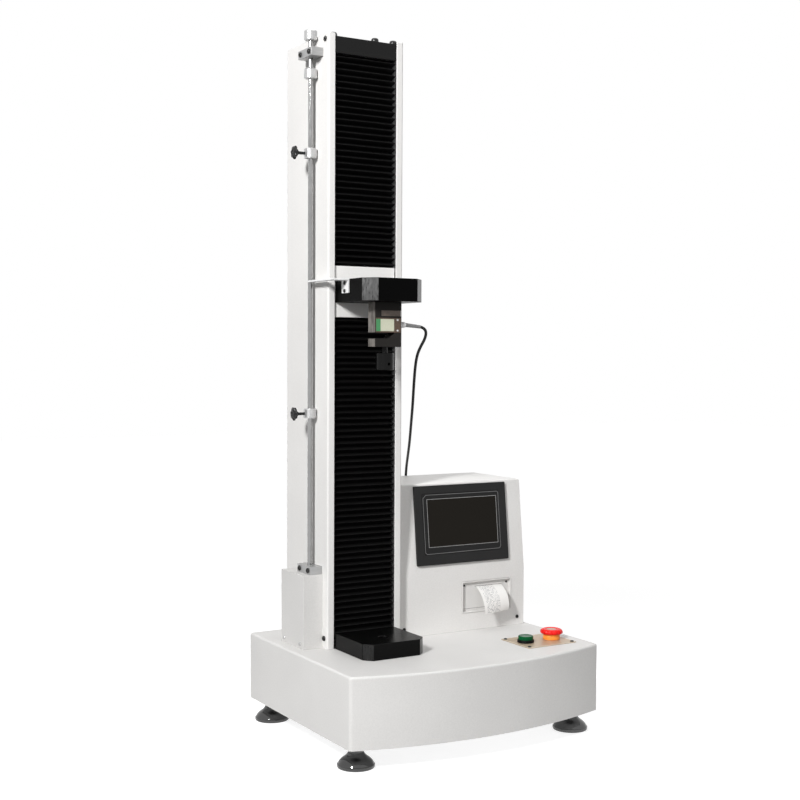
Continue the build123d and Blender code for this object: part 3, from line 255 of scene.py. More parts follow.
BRUSHED_Z = (1.0, 1.0, 0.03)
BRUSHED_X = (0.03, 1.0, 1.0)
LOOKS = {
    "white_coat": finish(
        "white_coat", (0.755, 0.745, 0.730), (0.815, 0.805, 0.790), (0.38, 0.52), grain=420.0, relief=0.00006,
        Specular_IOR_Level=0.15,
    ),
    "bare_steel": finish(
        "bare_steel", grey(0.46), grey(0.60), (0.28, 0.42), 1.0, grain=700.0, stretch=BRUSHED_Z, relief=0.00001
    ),
    "bright_plate": finish(
        "bright_plate", grey(0.66), grey(0.80), (0.20, 0.32), 1.0, grain=800.0, stretch=BRUSHED_X, relief=0.00001
    ),
    "frame_aluminium": finish(
        "frame_aluminium", grey(0.62), grey(0.72), (0.35, 0.48), 1.0, grain=600.0, stretch=BRUSHED_Z
    ),
    "black_anodised": finish(
        "black_anodised", grey(0.0022), grey(0.0042), (0.24, 0.34), grain=900.0, stretch=BRUSHED_Z,
        relief=0.000008, Specular_IOR_Level=0.16,
    ),
    "black_coat": finish(
        "black_coat", grey(0.0025), grey(0.0050), (0.35, 0.5), grain=500.0, relief=0.00004, Specular_IOR_Level=0.2
    ),
    "bellows_skin": finish(
        "bellows_skin", grey(0.0016), grey(0.0034), (0.45, 0.62), grain=1500.0, relief=0.00004,
        Specular_IOR_Level=0.20,
    ),
    "bright_chrome": finish("bright_chrome", grey(0.32), grey(0.38), (0.07, 0.11), 1.0, grain=60.0),
    "black_oxide": finish(
        "black_oxide", grey(0.012), grey(0.022), (0.22, 0.34), 0.35, grain=900.0, relief=0.000012
    ),
    "bright_zinc": finish("bright_zinc", grey(0.58), grey(0.72), (0.22, 0.36), 1.0, grain=700.0, relief=0.00001),
    "cell_metal": faced(
        finish(
            "cell_metal", (0.016, 0.015, 0.014), (0.026, 0.024, 0.022), (0.34, 0.46), grain=900.0, relief=0.00001,
            Specular_IOR_Level=0.08,
        ),
        [(-1.0, 0.0, 0.0), (1.0, 0.0, 0.0)], (0.085, 0.078, 0.071), (0.250, 0.232, 0.215), (0.35, 0.50), 0.2, 160.0,
        (1.0, 1.0, 0.35),
    ),
    "boot_rubber": finish("boot_rubber", grey(0.20), grey(0.27), (0.45, 0.60), grain=900.0, relief=0.00003),
    "cable_jacket": finish(
        "cable_jacket", grey(0.003), grey(0.006), (0.35, 0.48), grain=1200.0, Specular_IOR_Level=0.25
    ),
    "black_plastic": finish(
        "black_plastic", grey(0.004), grey(0.008), (0.30, 0.45), grain=1400.0, relief=0.00003, Specular_IOR_Level=0.3
    ),
    "bezel_plastic": finish(
        "bezel_plastic", grey(0.019), grey(0.026), (0.30, 0.42), grain=1600.0, relief=0.00002, Specular_IOR_Level=0.1
    ),
    "screen_glass": finish(
        "screen_glass", grey(0.012, 0.15), grey(0.016, 0.15), (0.16, 0.24), grain=60.0, Specular_IOR_Level=0.3
    ),
    "printer_plastic": finish(
        "printer_plastic", (0.70, 0.69, 0.675), (0.76, 0.75, 0.735), (0.45, 0.58), grain=1100.0, relief=0.00003
    ),
    "paper": finish("paper", (0.84, 0.83, 0.81), (0.90, 0.89, 0.87), (0.75, 0.9), grain=1500.0, relief=0.00002),
    "drive_grey": finish("drive_grey", grey(0.20), grey(0.28), (0.45, 0.60), grain=900.0, relief=0.00003),
    "motor_black": finish("motor_black", grey(0.015), grey(0.025), (0.40, 0.55), grain=900.0, relief=0.00003),
    "belt_rubber": finish("belt_rubber", grey(0.012), grey(0.020), (0.60, 0.75), grain=900.0, relief=0.00003),
    "bronze_plate": finish(
        "bronze_plate", (0.45, 0.350, 0.245), (0.53, 0.420, 0.305), (0.32, 0.45), 0.25, grain=900.0,
        stretch=BRUSHED_X, relief=0.00001,
    ),
    "green_plastic": finish(
        "green_plastic", (0.001, 0.075, 0.020), (0.002, 0.100, 0.030), (0.12, 0.20), grain=300.0,
        Specular_IOR_Level=0.08,
    ),
    "red_plastic": finish(
        "red_plastic", (0.80, 0.008, 0.007), (0.88, 0.014, 0.012), (0.24, 0.34), grain=300.0, Specular_IOR_Level=0.2
    ),
    "yellow_plastic": finish(
        "yellow_plastic", (0.97, 0.30, 0.040), (0.99, 0.36, 0.060), (0.30, 0.42), grain=300.0, Specular_IOR_Level=0.3
    ),
    "foot_chrome": finish(
        "foot_chrome", grey(0.075), grey(0.11), (0.05, 0.12), 1.0, grain=500.0, stretch=(1.0, 1.0, 6.0)
    ),
}
LABEL_GREEN = finish("label_green", (0.05, 0.24, 0.09), (0.07, 0.30, 0.12), (0.35, 0.5), grain=900.0)
LABEL_CREAM = finish("label_cream", (0.58, 0.60, 0.46), (0.68, 0.69, 0.54), (0.35, 0.5), grain=900.0)
POTTING = finish("potting", (0.060, 0.035, 0.022), (0.100, 0.060, 0.038), (0.25, 0.5), grain=350.0, relief=0.0002)
# Brown of the painted shade seen through the load cell's upper slot
SLOT_SHADE_BROWN = finish("slot_painted_shade", (0.150, 0.115, 0.095), (0.230, 0.185, 0.155), (0.4, 0.6), grain=250.0)
PLATE_EDGE = finish("plate_edge", (0.66, 0.60, 0.48), (0.74, 0.68, 0.56), (0.35, 0.5), grain=900.0)
# Grey of the paper door's seam, and of the painted highlight along the touch panel glass's edge
SEAM_AND_HIGHLIGHT_GREY = finish("seam_and_highlight_grey", grey(0.13), grey(0.17), (0.30, 0.42), grain=900.0)
LINE_LIGHT = finish("line_light", grey(0.30), grey(0.36), (0.30, 0.42), grain=900.0)
BRASS = finish("brass", (0.60, 0.44, 0.18), (0.72, 0.54, 0.24), (0.18, 0.30), 1.0, grain=500.0)
SATIN_NICKEL = finish("satin_nickel", grey(0.48), grey(0.58), (0.26, 0.38), 0.75, grain=600.0)
GROUND_STEEL = finish("ground_steel", grey(0.36), grey(0.46), (0.30, 0.42), 0.55, grain=700.0, stretch=BRUSHED_X)
WHITE_ZINC = finish("white_zinc", grey(0.80), grey(0.88), (0.30, 0.42), 0.15, grain=800.0, stretch=BRUSHED_X)
PALE_DISC = finish("pale_disc", (0.50, 0.35, 0.29), (0.58, 0.42, 0.35), (0.40, 0.55), grain=900.0)
PITCH_BLACK = finish("pitch_black", grey(0.002), grey(0.004), (0.25, 0.4), grain=900.0, Specular_IOR_Level=0.12)


def soften(name, width):
    """Rounds the sharp edges of a carried-over solid, so that they catch the light."""
    obj = nodes[name]
    obj.data.polygons.foreach_set("use_smooth", [True] * len(obj.data.polygons))
    weld = obj.modifiers.new("weld", "WELD")
    weld.merge_threshold = 0.00001
    flat = obj.modifiers.new("flat", "DECIMATE")
    flat.decimate_type = "DISSOLVE"
    flat.angle_limit = math.radians(0.3)
    edge = obj.modifiers.new("edge", "BEVEL")
    edge.width = width
    edge.segments = 2
    edge.limit_method = "ANGLE"
    edge.angle_limit = math.radians(SHARP_ANGLE)
    normals = obj.modifiers.new("normals", "WEIGHTED_NORMAL")
    normals.keep_sharp = True


def give_look(look, *names):
    """Gives carried-over solids a look other than their slot's."""
    for name in names:
        nodes[name].data.materials[0] = look


# Degrees, from which on an edge counts as sharp
SHARP_ANGLE = 38
# Names of the solids by the width of their rounded edges, in metres
SOFT_EDGES = {
    0.0012: ["column_left_panel", "column_right_panel", "column_rear_cover", "limit_switch_cover", "lower_platen"],
    0.0008: ["control_box", "crosshead_block", "hmi_bezel", "rear_panel", "carriage_plate"],
    0.0005: [
        "column_top_cap", "load_cell", "rod_guide_blocks", "printer_housing", "button_plate", "power_inlet",
        "power_rocker", "grip_adapter", "striker_arm",
    ],
}

FACETS = [(-0.7071, -0.7071, 0.0), (0.7071, -0.7071, 0.0)]
# Dark and light grey of the machined facets, and gloss of the black faces
MACHINED = {"crosshead_block": (0.046, 0.088, 0.02), "lower_platen": (0.026, 0.040, 0.09)}
WARM_WHITE = (1.0, 0.987, 0.968)
# Dark and light level of the white coats that differ from the column's: the carriage plate's is lighter as painted
# light where the crosshead shades it, and the limit switch cover's and the base cover's are darker as painted shade
# of the lower parts
PAINTED_SHADING_COATS = {"carriage_plate": (0.84, 0.90), "limit_switch_cover": (0.64, 0.70), "base_cover": (0.69, 0.75)}

for obj in nodes.values():
    slot_name = obj.data.materials[0].name.split(".")[0]
    obj.data.materials[0] = LOOKS[slot_name]
for node_name, (dark, light, gloss) in MACHINED.items():
    black = finish(
        node_name + "_black", grey(0.0018), grey(0.0028), (0.26, 0.32), grain=1400.0, relief=0.000004,
        Specular_IOR_Level=gloss,
    )
    faced(black, FACETS, grey(dark), grey(light), (0.22, 0.36), 1.0, 420.0, (1.0, 1.0, 0.25))
    give_look(black, node_name)
# White coats whose levels hold painted light on the carriage plate and painted shade on the low covers
for node_name, levels in PAINTED_SHADING_COATS.items():
    dark, light = [tuple(level * share for share in WARM_WHITE) for level in levels]
    shading_coat = finish(
        node_name + "_coat", dark, light, (0.38, 0.52), grain=420.0, relief=0.00006, Specular_IOR_Level=0.15
    )
    give_look(shading_coat, node_name)
adapter_black = finish(
    "adapter_black", grey(0.003), grey(0.005), (0.14, 0.22), grain=700.0, stretch=BRUSHED_Z, Specular_IOR_Level=0.14
)
give_look(adapter_black, "grip_adapter")
give_look(WHITE_ZINC, "striker_arm")
give_look(GROUND_STEEL, "rod_guide_blocks")
give_look(SATIN_NICKEL, "rod_collars", "upper_stop_collar", "lower_stop_collar")


def within(tree, value, middle, half):
    """1 where a value lies nearer to a middle than half a width."""
    off = math_node(tree, "ABSOLUTE", math_node(tree, "SUBTRACT", value, middle), 0.0)
    return math_node(tree, "LESS_THAN", off, half)


def panel_look():
    """Touch panel whose display field is darker than the rim round it."""
    material = finish(
        "touch_panel", grey(0.019), grey(0.026), (0.22, 0.32), grain=1600.0, Specular_IOR_Level=0.05
    )
    tree = material.node_tree
    place = wire(tree, "ShaderNodeTexCoord").outputs["Object"]
    x, _, z = wire(tree, "ShaderNodeSeparateXYZ", Vector=place).outputs
    field = math_node(tree, "MULTIPLY", within(tree, x, 0.0998, 0.0755), within(tree, z, 0.3535, 0.0432))
    tint(material, field, (0.0135, 0.0118, 0.0095, 1.0))
    return material


give_look(panel_look(), "hmi_screen")
for edge_width, names in SOFT_EDGES.items():
    for node_name in names:
        soften(node_name, edge_width)


# Mesh helpers: each shape is a list of points and a list of faces

def lathe(profile, count=64):
    """Surface turned about Z from (radius, height) pairs, each with a shape of its ring if it isn't round."""
    points, faces, rings = [], [], []
    for radius, height, *shape in profile:
        if radius == 0:
            rings.append([len(points)])
            points.append(Vector((0, 0, height)))
            continue
        ring = []
        for i in range(count):
            angle = 2 * math.pi * i / count
            r = radius * (shape[0](angle) if shape else 1.0)
            ring.append(len(points))
            points.append(Vector((r * math.cos(angle), r * math.sin(angle), height)))
        rings.append(ring)
    for low, high in zip(rings, rings[1:]):
        for i in range(count):
            j = (i + 1) % count
            if len(low) == 1:
                faces.append((low[0], high[j], high[i]))
            elif len(high) == 1:
                faces.append((low[i], low[j], high[0]))
            else:
                faces.append((low[i], low[j], high[j], high[i]))
    return points, faces


def prism(outline, z0, z1, hole=None):
    """Plate over an outline, from one height to another; with a hole it is a strip between two outlines."""
    count = len(outline)
    points, faces = [], []
    loops = [outline] if hole is None else [outline, hole]
    for loop in loops:
        for z in (z0, z1):
            points += [Vector((x, y, z)) for x, y in loop]
    for i in range(count):
        j = (i + 1) % count
        faces.append((i, j, count + j, count + i))
        if hole is not None:
            h = 2 * count
            faces.append((h + j, h + i, h + count + i, h + count + j))
            faces.append((j, i, h + i, h + j))
            faces.append((count + i, count + j, h + count + j, h + count + i))
    if hole is None:
        faces.append(tuple(reversed(range(count))))
        faces.append(tuple(range(count, 2 * count)))
    return points, faces


def box_shape(low, high):
    """Plain block between two corners."""
    outline = [(low[0], low[1]), (high[0], low[1]), (high[0], high[1]), (low[0], high[1])]
    return prism(outline, low[2], high[2])


def inset(outline, distance):
    """Convex outline, counter-clockwise, with each side moved in by a distance."""
    inner = []
    count = len(outline)
    for i in range(count):
        here = Vector(outline[i])
        before = (here - Vector(outline[i - 1])).normalized()
        after = (Vector(outline[(i + 1) % count]) - here).normalized()
        normal = Vector((-before.y - after.y, before.x + after.x)).normalized()
        reach = distance / max(0.2, normal.dot(Vector((-after.y, after.x))))
        inner.append(tuple(here + normal * reach))
    return inner


def round_rectangle(width, height, radius, steps=5):
    """Outline of a rectangle with round corners about the origin, counter-clockwise."""
    outline = []
    for k, (sx, sy) in enumerate(((1, 1), (-1, 1), (-1, -1), (1, -1))):
        for i in range(steps + 1):
            angle = math.pi / 2 * (k + i / steps)
            outline.append((
                sx * (width / 2 - radius) + radius * math.cos(angle),
                sy * (height / 2 - radius) + radius * math.sin(angle),
            ))
    return outline


def tube(path, radius, count=14):
    """Round tube along a smooth line of points, closed at its ends."""
    points, faces = [], []
    tangents = []
    for i in range(len(path)):
        tangents.append((path[min(i + 1, len(path) - 1)] - path[max(i - 1, 0)]).normalized())
    side = tangents[0].orthogonal().normalized()
    for place, tangent in zip(path, tangents):
        side = (side - tangent * side.dot(tangent)).normalized()
        other = tangent.cross(side)
        for k in range(count):
            angle = 2 * math.pi * k / count
            points.append(place + (side * math.cos(angle) + other * math.sin(angle)) * radius)
    for i in range(len(path) - 1):
        for k in range(count):
            j = (k + 1) % count
            a, b = i * count, (i + 1) * count
            faces.append((a + k, a + j, b + j, b + k))
    faces.append(tuple(reversed(range(count))))
    faces.append(tuple(range(len(points) - count, len(points))))
    return points, faces


def sheet_faces(rows, columns):
    """Faces of a thin sheet, whose points are two layers of rows and columns."""
    faces = []
    layer = rows * columns
    for r in range(rows - 1):
        for k in range(columns - 1):
            a = r * columns + k
            b = a + columns
            faces.append((a, a + 1, b + 1, b))
            faces.append((layer + a + 1, layer + a, layer + b, layer + b + 1))
        for k in (0, columns - 1):
            a = r * columns + k
            b = a + columns
            faces.append((a, b, layer + b, layer + a))
    for r in (0, rows - 1):
        for k in range(columns - 1):
            a = r * columns + k
            faces.append((a, layer + a, layer + a + 1, a + 1))
    return faces


def moved(shape, matrix):
    points, faces = shape
    return [matrix @ p for p in points], faces


def at(x, y, z, direction=(0, 0, 1)):
    """Place with its Z axis along a direction; the place is in metres."""
    turn = Vector((0, 0, 1)).rotation_difference(Vector(direction)).to_matrix().to_4x4()
    return Matrix.Translation((x, y, z)) @ turn


def piece(name, shapes, slot, body=None, look=None, replaces=(), sharp=SHARP_ANGLE):
    """One object from shapes in metres, in the machine's frame."""
    mesh = bmesh.new()
    for points, faces in shapes:
        verts = [mesh.verts.new(p) for p in points]
        for face in faces:
            mesh.faces.new([verts[i] for i in face])
    bmesh.ops.recalc_face_normals(mesh, faces=mesh.faces)
    data = bpy.data.meshes.new(name)
    mesh.to_mesh(data)
    mesh.free()
    data.shade_smooth()
    data.set_sharp_from_angle(angle=math.radians(sharp))
    data.materials.append(look or LOOKS[slot])
    obj = bpy.data.objects.new(name, data)
    scene.collection.objects.link(obj)
    if body:
        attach(obj, body)
    if replaces:
        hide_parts(*replaces)
    return obj


def scaled(profile):
    """Profile given in millimetres, in metres."""
    return [(r * MM, z * MM, *rest) for r, z, *rest in profile]


def box_axis(node):
    """Middle of a node's box, seen from above."""
    low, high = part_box(node)
    return (low.x + high.x) / 2, (low.y + high.y) / 2


def hexagon(angle):
    """Ring factor of a hexagon whose corners lie on the circle."""
    turn = (angle + math.pi / 6) % (math.pi / 3) - math.pi / 6
    return math.cos(math.pi / 6) / math.cos(turn)


def blunt_hexagon(limit):
    """Ring factor of a hexagon whose corners are cut off at a limit."""
    return lambda angle: min(hexagon(angle), limit)


def cross(angle):
    """Ring factor of a cross-shaped recess."""
    turn = (angle + math.pi / 4) % (math.pi / 2) - math.pi / 4
    half = 0.26
    return 1.0 if abs(math.tan(turn)) <= half else half / abs(math.sin(turn))


# Load cell cable

CABLE_D = 0.005
CABLE_POINTS = [
    (-45.5, -47.0, 702.0), (-37.5, -46.6, 700.4), (-31.5, -45.0, 693.0), (-32.0, -41.0, 681.5),
    (-36.0, -33.0, 668.0), (-38.0, -25.5, 654.0), (-34.0, -13.0, 634.0), (-25.0, 6.0, 603.0),
    (-9.0, 36.0, 566.0), (12.0, 76.0, 530.0), (35.0, 119.0, 495.0), (58.0, 163.0, 467.0),
    (78.0, 203.0, 437.0), (85.0, 217.0, 400.0), (87.0, 218.0, 332.0), (87.8, 219.0, 272.0),
    (88.0, 219.0, 236.0), (99.5, 219.2, 224.0), (116.5, 219.2, 224.0), (128.0, 219.0, 236.0),
    (128.3, 218.6, 272.0), (128.0, 218.0, 322.0), (128.0, 218.0, 352.0),
]


def spline_points(name, route, resolution):
    """Points along the smooth line that a route steers, read from its curve."""
    data = bpy.data.curves.new(name, "CURVE")
    data.dimensions = "3D"
    spline = data.splines.new("NURBS")
    spline.points.add(len(route) - 1)
    for point, place in zip(spline.points, route):
        point.co = (*[v * MM for v in place], 1.0)
    spline.order_u = 3
    spline.use_endpoint_u = True
    spline.resolution_u = resolution
    curve = bpy.data.objects.new(name, data)
    scene.collection.objects.link(curve)
    bpy.context.view_layer.update()
    mesh = bpy.data.meshes.new_from_object(curve)
    line = [v.co.copy() for v in mesh.vertices]
    bpy.data.meshes.remove(mesh)
    bpy.data.objects.remove(curve)
    bpy.data.curves.remove(data)
    return line


def add_cable():
    """Cable from the load cell's boot, over the control box and down to its plug behind."""
    line = spline_points("cable_line", CABLE_POINTS, resolution=10)
    cable = piece("cell_cable", [tube(line, CABLE_D / 2)], "cable_jacket", replaces=["load_cell_cable"])
    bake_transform(cable)


add_cable()


# Bellows

# Metres, up to the number of columns
PLEAT_PITCH = 0.0105
PLEAT_SKIN = 0.0007
PLEAT_DEPTH = 0.0130
PLEAT_INSET = 0.0003
PLEAT_SWAY = 0.00018
PLEAT_LIFT = 0.00022
PLEAT_COLUMNS = 17
# Share of the pitch, and share of the depth at which the skin lies back
PLEAT_SHAPE = [
    (0.00, 1.00), (0.06, 0.96), (0.24, 0.55), (0.42, 0.13), (0.47, 0.02), (0.50, 0.00),
    (0.53, 0.02), (0.58, 0.13), (0.76, 0.55), (0.94, 0.96),
]


def add_bellows(name, node):
    """Pleated cover whose folds are a little uneven."""
    low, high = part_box(node)
    chance = random.Random(name)
    count = round((high.z - low.z) / PLEAT_PITCH)
    step = (high.z - low.z) / count
    rows = []
    for i in range(count):
        rows += [(i, low.z + (i + share) * step, PLEAT_DEPTH * back) for share, back in PLEAT_SHAPE]
    rows.append((count - 1, high.z, PLEAT_DEPTH))
    waves = [[chance.uniform(-1, 1) for _ in range(5)] for _ in range(count)]
    points = []
    for side in (0.0, PLEAT_SKIN):
        for i, z, back in rows:
            wave = waves[i]
            out = 1.0 - back / PLEAT_DEPTH
            for k in range(PLEAT_COLUMNS):
                u = k / (PLEAT_COLUMNS - 1)
                sway = wave[0] + wave[1] * math.cos(math.pi * u) + wave[2] * math.cos(2.6 * math.pi * u)
                lift = wave[3] + wave[4] * math.cos(1.7 * math.pi * u)
                y = low.y + PLEAT_INSET + back + PLEAT_SWAY * sway * out + PLEAT_INSET * out + side
                points.append(Vector((low.x + (high.x - low.x) * u, y, z + PLEAT_LIFT * lift * out)))
    faces = sheet_faces(len(rows), PLEAT_COLUMNS)
    obj = piece(name, [(points, faces)], "bellows_skin", replaces=[node], sharp=60)
    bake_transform(obj)


add_bellows("upper_pleats", "upper_bellows")
add_bellows("lower_pleats", "lower_bellows")


# Feet, knobs and buttons

FOOT_PROFILE = scaled([
    (0, 0), (28.0, 0), (29.8, 0.6), (30.5, 1.8), (30.5, 5.0), (30.1, 5.9), (29.3, 6.3), (29.0, 6.9), (28.2, 8.2),
    (27.0, 10.2), (25.2, 12.3), (22.8, 14.4), (20.2, 16.3), (17.8, 18.0), (15.9, 19.7), (14.5, 21.4), (13.5, 23.0),
    (12.9, 24.2), (12.2, 24.8), (12.2, 28.8), (11.6, 29.6), (6.4, 29.7), (6.0, 30.2), (6.0, 55.2), (5.2, 56.0),
    (0, 56.0),
])


def add_feet():
    """Levelling feet with a bell-shaped cup, a collar and a stud."""
    for corner in ("front_left", "front_right", "rear_left", "rear_right"):
        place = at(*box_axis(f"foot_{corner}"), 0.0)
        piece(
            f"levelling_foot_{corner}", [moved(lathe(FOOT_PROFILE, 96), place)], "foot_chrome",
            f"{corner}_foot", replaces=[f"foot_{corner}"],
        )


def lobes(count, depth):
    """Ring shape with round lobes."""
    return lambda angle: 1.0 - depth * (0.5 - 0.5 * math.cos(count * angle)) ** 0.8


def notches(count, depth, power):
    """Ring shape with notches; a higher power makes them narrower."""
    return lambda angle: 1.0 - depth * (0.5 + 0.5 * math.cos(count * angle)) ** power


def add_knobs():
    """Star knobs with a sunk middle, a hub and the clamp screw."""
    star = lobes(7, 0.19)
    mild = lobes(7, 0.16)
    profile = scaled([
        (0, -2.4), (3.0, -2.5), (3.8, -3.6), (6.0, -4.0, mild), (9.0, -3.0, star), (11.2, -1.6, star),
        (11.9, 0, star), (11.2, 1.6, star), (9.0, 2.9, star), (6.0, 3.8, mild), (4.4, 4.2), (4.2, 6.2), (3.6, 6.8),
        (2.5, 7.0), (2.5, 23.8), (0, 23.8),
    ])
    for which in ("upper", "lower"):
        low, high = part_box(f"{which}_stop_knob")
        place = at(low.x + 4.0 * MM, (low.y + high.y) / 2, (low.z + high.z) / 2, (1, 0, 0))
        piece(
            f"{which}_star_knob", [moved(lathe(profile, 112), place)], "black_plastic", f"{which}_knob",
            replaces=[f"{which}_stop_knob"],
        )


def add_buttons():
    """Start button with its ring, and emergency stop with its collar."""
    start = at(*box_axis("start_button_cap"), 0)
    cap = scaled([
        (0, 143.6), (4.8, 143.6), (5.0, 143.9), (5.0, 159.6), (12.6, 159.6), (13.2, 160.2), (13.2, 164.9),
        (12.9, 165.9), (12.2, 166.5), (11.4, 166.6), (10.6, 166.3), (9.6, 166.1), (0, 166.2),
    ])
    piece("start_cap", [moved(lathe(cap, 72), start)], "green_plastic", "start_button", replaces=["start_button_cap"])
    grip = notches(36, 0.022, 0.6)
    ring = scaled([
        (0, 125.0), (10.6, 125.0), (11.0, 125.4), (11.0, 154.9), (14.3, 155.0), (14.75, 155.5), (14.75, 156.2),
        (14.7, 156.4, grip), (14.7, 159.2, grip), (14.6, 159.4), (14.1, 160.3), (13.8, 160.5), (13.57, 160.3),
        (13.56, 155.35), (5.08, 155.3), (5.06, 127.1), (0, 127.0),
    ])
    piece(
        "start_ring", [moved(lathe(ring, 216), start)], "black_plastic", "frame", PITCH_BLACK, ["start_button_ring"],
    )

    stop = at(*box_axis("estop_head"), 0)
    side = notches(12, 0.045, 2.2)
    soft = notches(12, 0.020, 2.2)
    head = scaled([
        (0, 171.15), (4.1, 171.15), (4.1, 169.15), (16.1, 169.1), (16.1, 165.3), (16.5, 165.0), (18.4, 165.0, soft),
        (19.4, 165.6, side), (20.0, 166.8, side), (20.0, 168.4, side), (19.5, 169.9, side), (18.4, 171.3, soft),
        (16.8, 172.4), (14.8, 173.0), (12.4, 173.1), (10.6, 172.8), (9.5, 172.2), (9.1, 171.8), (0, 171.8),
    ])
    piece("stop_mushroom", [moved(lathe(head, 144), stop)], "red_plastic", "stop_head", replaces=["estop_head"])
    disc = scaled([(0, 171.8), (8.5, 171.8), (8.8, 172.0), (8.5, 172.25), (0, 172.35)])
    piece("stop_disc", [moved(lathe(disc, 64), stop)], "paper", "stop_head", PALE_DISC)
    collar = scaled([
        (0, 125.0), (10.6, 125.0), (11.0, 125.4), (11.0, 154.9), (14.6, 155.0), (15.0, 155.4), (15.0, 161.6),
        (14.7, 162.1), (14.7, 163.2), (15.0, 163.6), (15.0, 165.2), (14.7, 165.5), (6.2, 165.5), (6.06, 165.3),
        (6.05, 127.1), (0, 127.0),
    ])
    piece("stop_collar", [moved(lathe(collar, 96), stop)], "yellow_plastic", "frame", replaces=["estop_collar"])


add_feet()
add_knobs()
add_buttons()


# Fasteners

# Screws up to this diameter have a cross recess, larger ones a hexagon socket
CROSS_SCREW_D = 0.006
# The lock nuts of the feet lie below this height
NUT_TOP = 0.045
NUT_FLATS, NUT_HEIGHT, NUT_BORE, NUT_SEAT = 0.019, 0.008, 0.0121, 0.030
# The button plate's screws lie in front of and below these
PLATE_BACK, PLATE_TOP = -0.02, 0.17
# The striker arm's screws lie left of this
ARM_RIGHT = -0.165
CELL_AXIS = (-0.115, -0.048)


def loose_parts(node):
    """Separate solids of a node, each as its list of points."""
    mesh = bmesh.new()
    mesh.from_mesh(nodes[node].data)
    bmesh.ops.remove_doubles(mesh, verts=mesh.verts, dist=0.000001)
    left = set(mesh.verts)
    parts = []
    while left:
        seed = left.pop()
        group, queue = [seed], [seed]
        while queue:
            for edge in queue.pop().link_edges:
                for vert in edge.verts:
                    if vert in left:
                        left.remove(vert)
                        group.append(vert)
                        queue.append(vert)
        parts.append([v.co.copy() for v in group])
    mesh.free()
    return parts


def head_place(points):
    """Seat, direction, diameter and height of a screw head."""
    low = Vector([min(p[k] for p in points) for k in range(3)])
    high = Vector([max(p[k] for p in points) for k in range(3)])
    size = high - low
    axis = min(range(3), key=lambda k: abs(size[k - 1] - size[k - 2]))
    centre = (low + high) / 2

    def spread(level):
        ends = [p for p in points if abs(p[axis] - level) < 0.00001]
        return max((Vector([p[k] - centre[k] for k in range(3) if k != axis]).length for p in ends), default=0)

    up = spread(low[axis]) > spread(high[axis])
    seat = centre.copy()
    seat[axis] = low[axis] if up else high[axis]
    direction = Vector((0, 0, 0))
    direction[axis] = 1.0 if up else -1.0
    return seat, direction, size[axis - 1], size[axis]


def screw_head(diameter, height, recess):
    """Button head with a recess for its key."""
    r = diameter / 2
    wide = 0.50 if recess is hexagon else 0.62
    return lathe([
        (0, 0), (0.97 * r, 0), (r, 0.06 * height), (r, 0.40 * height), (0.96 * r, 0.66 * height),
        (0.86 * r, 0.86 * height), (0.72 * r, 0.97 * height), (0.66 * r, height), (wide * r, height, recess),
        (wide * 0.97 * r, 0.35 * height, recess), (0, 0.30 * height),
    ], 48)


def hex_nut(flats, height, bore):
    """Nut with chamfered corners."""
    r = flats / 2 / math.cos(math.pi / 6)
    low = blunt_hexagon(0.915)
    return lathe([
        (bore / 2, 0.2 * MM), (bore / 2 + 0.5 * MM, 0), (r, 0, low), (r, 0.07 * height, hexagon),
        (r, 0.93 * height, hexagon), (r, height, low), (bore / 2 + 0.5 * MM, height), (bore / 2, height - 0.2 * MM),
        (bore / 2, 0.2 * MM),
    ], 72)


def add_fasteners():
    """Screw heads with recesses, and the lock nuts of the feet."""
    dark = []
    for points in loose_parts("black_screws"):
        seat, direction, diameter, height = head_place(points)
        recess = hexagon if diameter > CROSS_SCREW_D else cross
        dark.append(moved(screw_head(diameter, height, recess), at(*seat, direction)))
    piece("dark_screw_heads", dark, "black_oxide", "frame", replaces=["black_screws"])
    bright, nuts, plate_screws = [], [], []
    for points in loose_parts("bright_fasteners"):
        if max(p.z for p in points) < NUT_TOP:
            x = (min(p.x for p in points) + max(p.x for p in points)) / 2
            y = (min(p.y for p in points) + max(p.y for p in points)) / 2
            nuts.append(moved(hex_nut(NUT_FLATS, NUT_HEIGHT, NUT_BORE), at(x, y, NUT_SEAT)))
            continue
        seat, direction, diameter, height = head_place(points)
        group = plate_screws if seat.y < PLATE_BACK and seat.z < PLATE_TOP else bright
        group.append(moved(screw_head(diameter, height, cross), at(*seat, direction)))
    piece("bright_screw_heads", bright + nuts, "bright_zinc", "frame", replaces=["bright_fasteners"])
    piece("plate_screw_heads", plate_screws, "black_oxide", "frame")


def add_crosshead_fasteners():
    """Socket bolt and stud of the load cell, and the striker arm's two screws."""
    axis = at(*CELL_AXIS, 0)
    bolt = scaled([
        (0, 731.0), (4.6, 731.0), (5.0, 731.4), (5.0, 769.0), (7.6, 769.0), (8.0, 769.4), (8.0, 778.0), (7.3, 779.0),
        (4.6, 779.0, hexagon), (4.5, 773.0, hexagon), (0, 772.6),
    ])
    stud = [(0, 652.25), (4.6, 652.25), (5.0, 652.7), (5.0, 657.0)]
    for i in range(7):
        z = 657.6 + 1.5 * i
        stud += [(5.0, z), (4.45, z + 0.55), (4.45, z + 0.75), (5.0, z + 1.3)]
    stud += [(5.0, 678.0), (4.6, 678.5), (0, 678.5)]
    shapes = [moved(lathe(bolt, 72), axis), moved(lathe(scaled(stud), 40), axis)]
    for points in loose_parts("crosshead_fasteners"):
        if max(p.x for p in points) < ARM_RIGHT:
            seat, direction, diameter, height = head_place(points)
            shapes.append(moved(screw_head(diameter, height, hexagon), at(*seat, direction)))
    piece("crosshead_screws", shapes, "black_oxide", "crosshead", replaces=["crosshead_fasteners"])


add_fasteners()
add_crosshead_fasteners()


# Load cell details

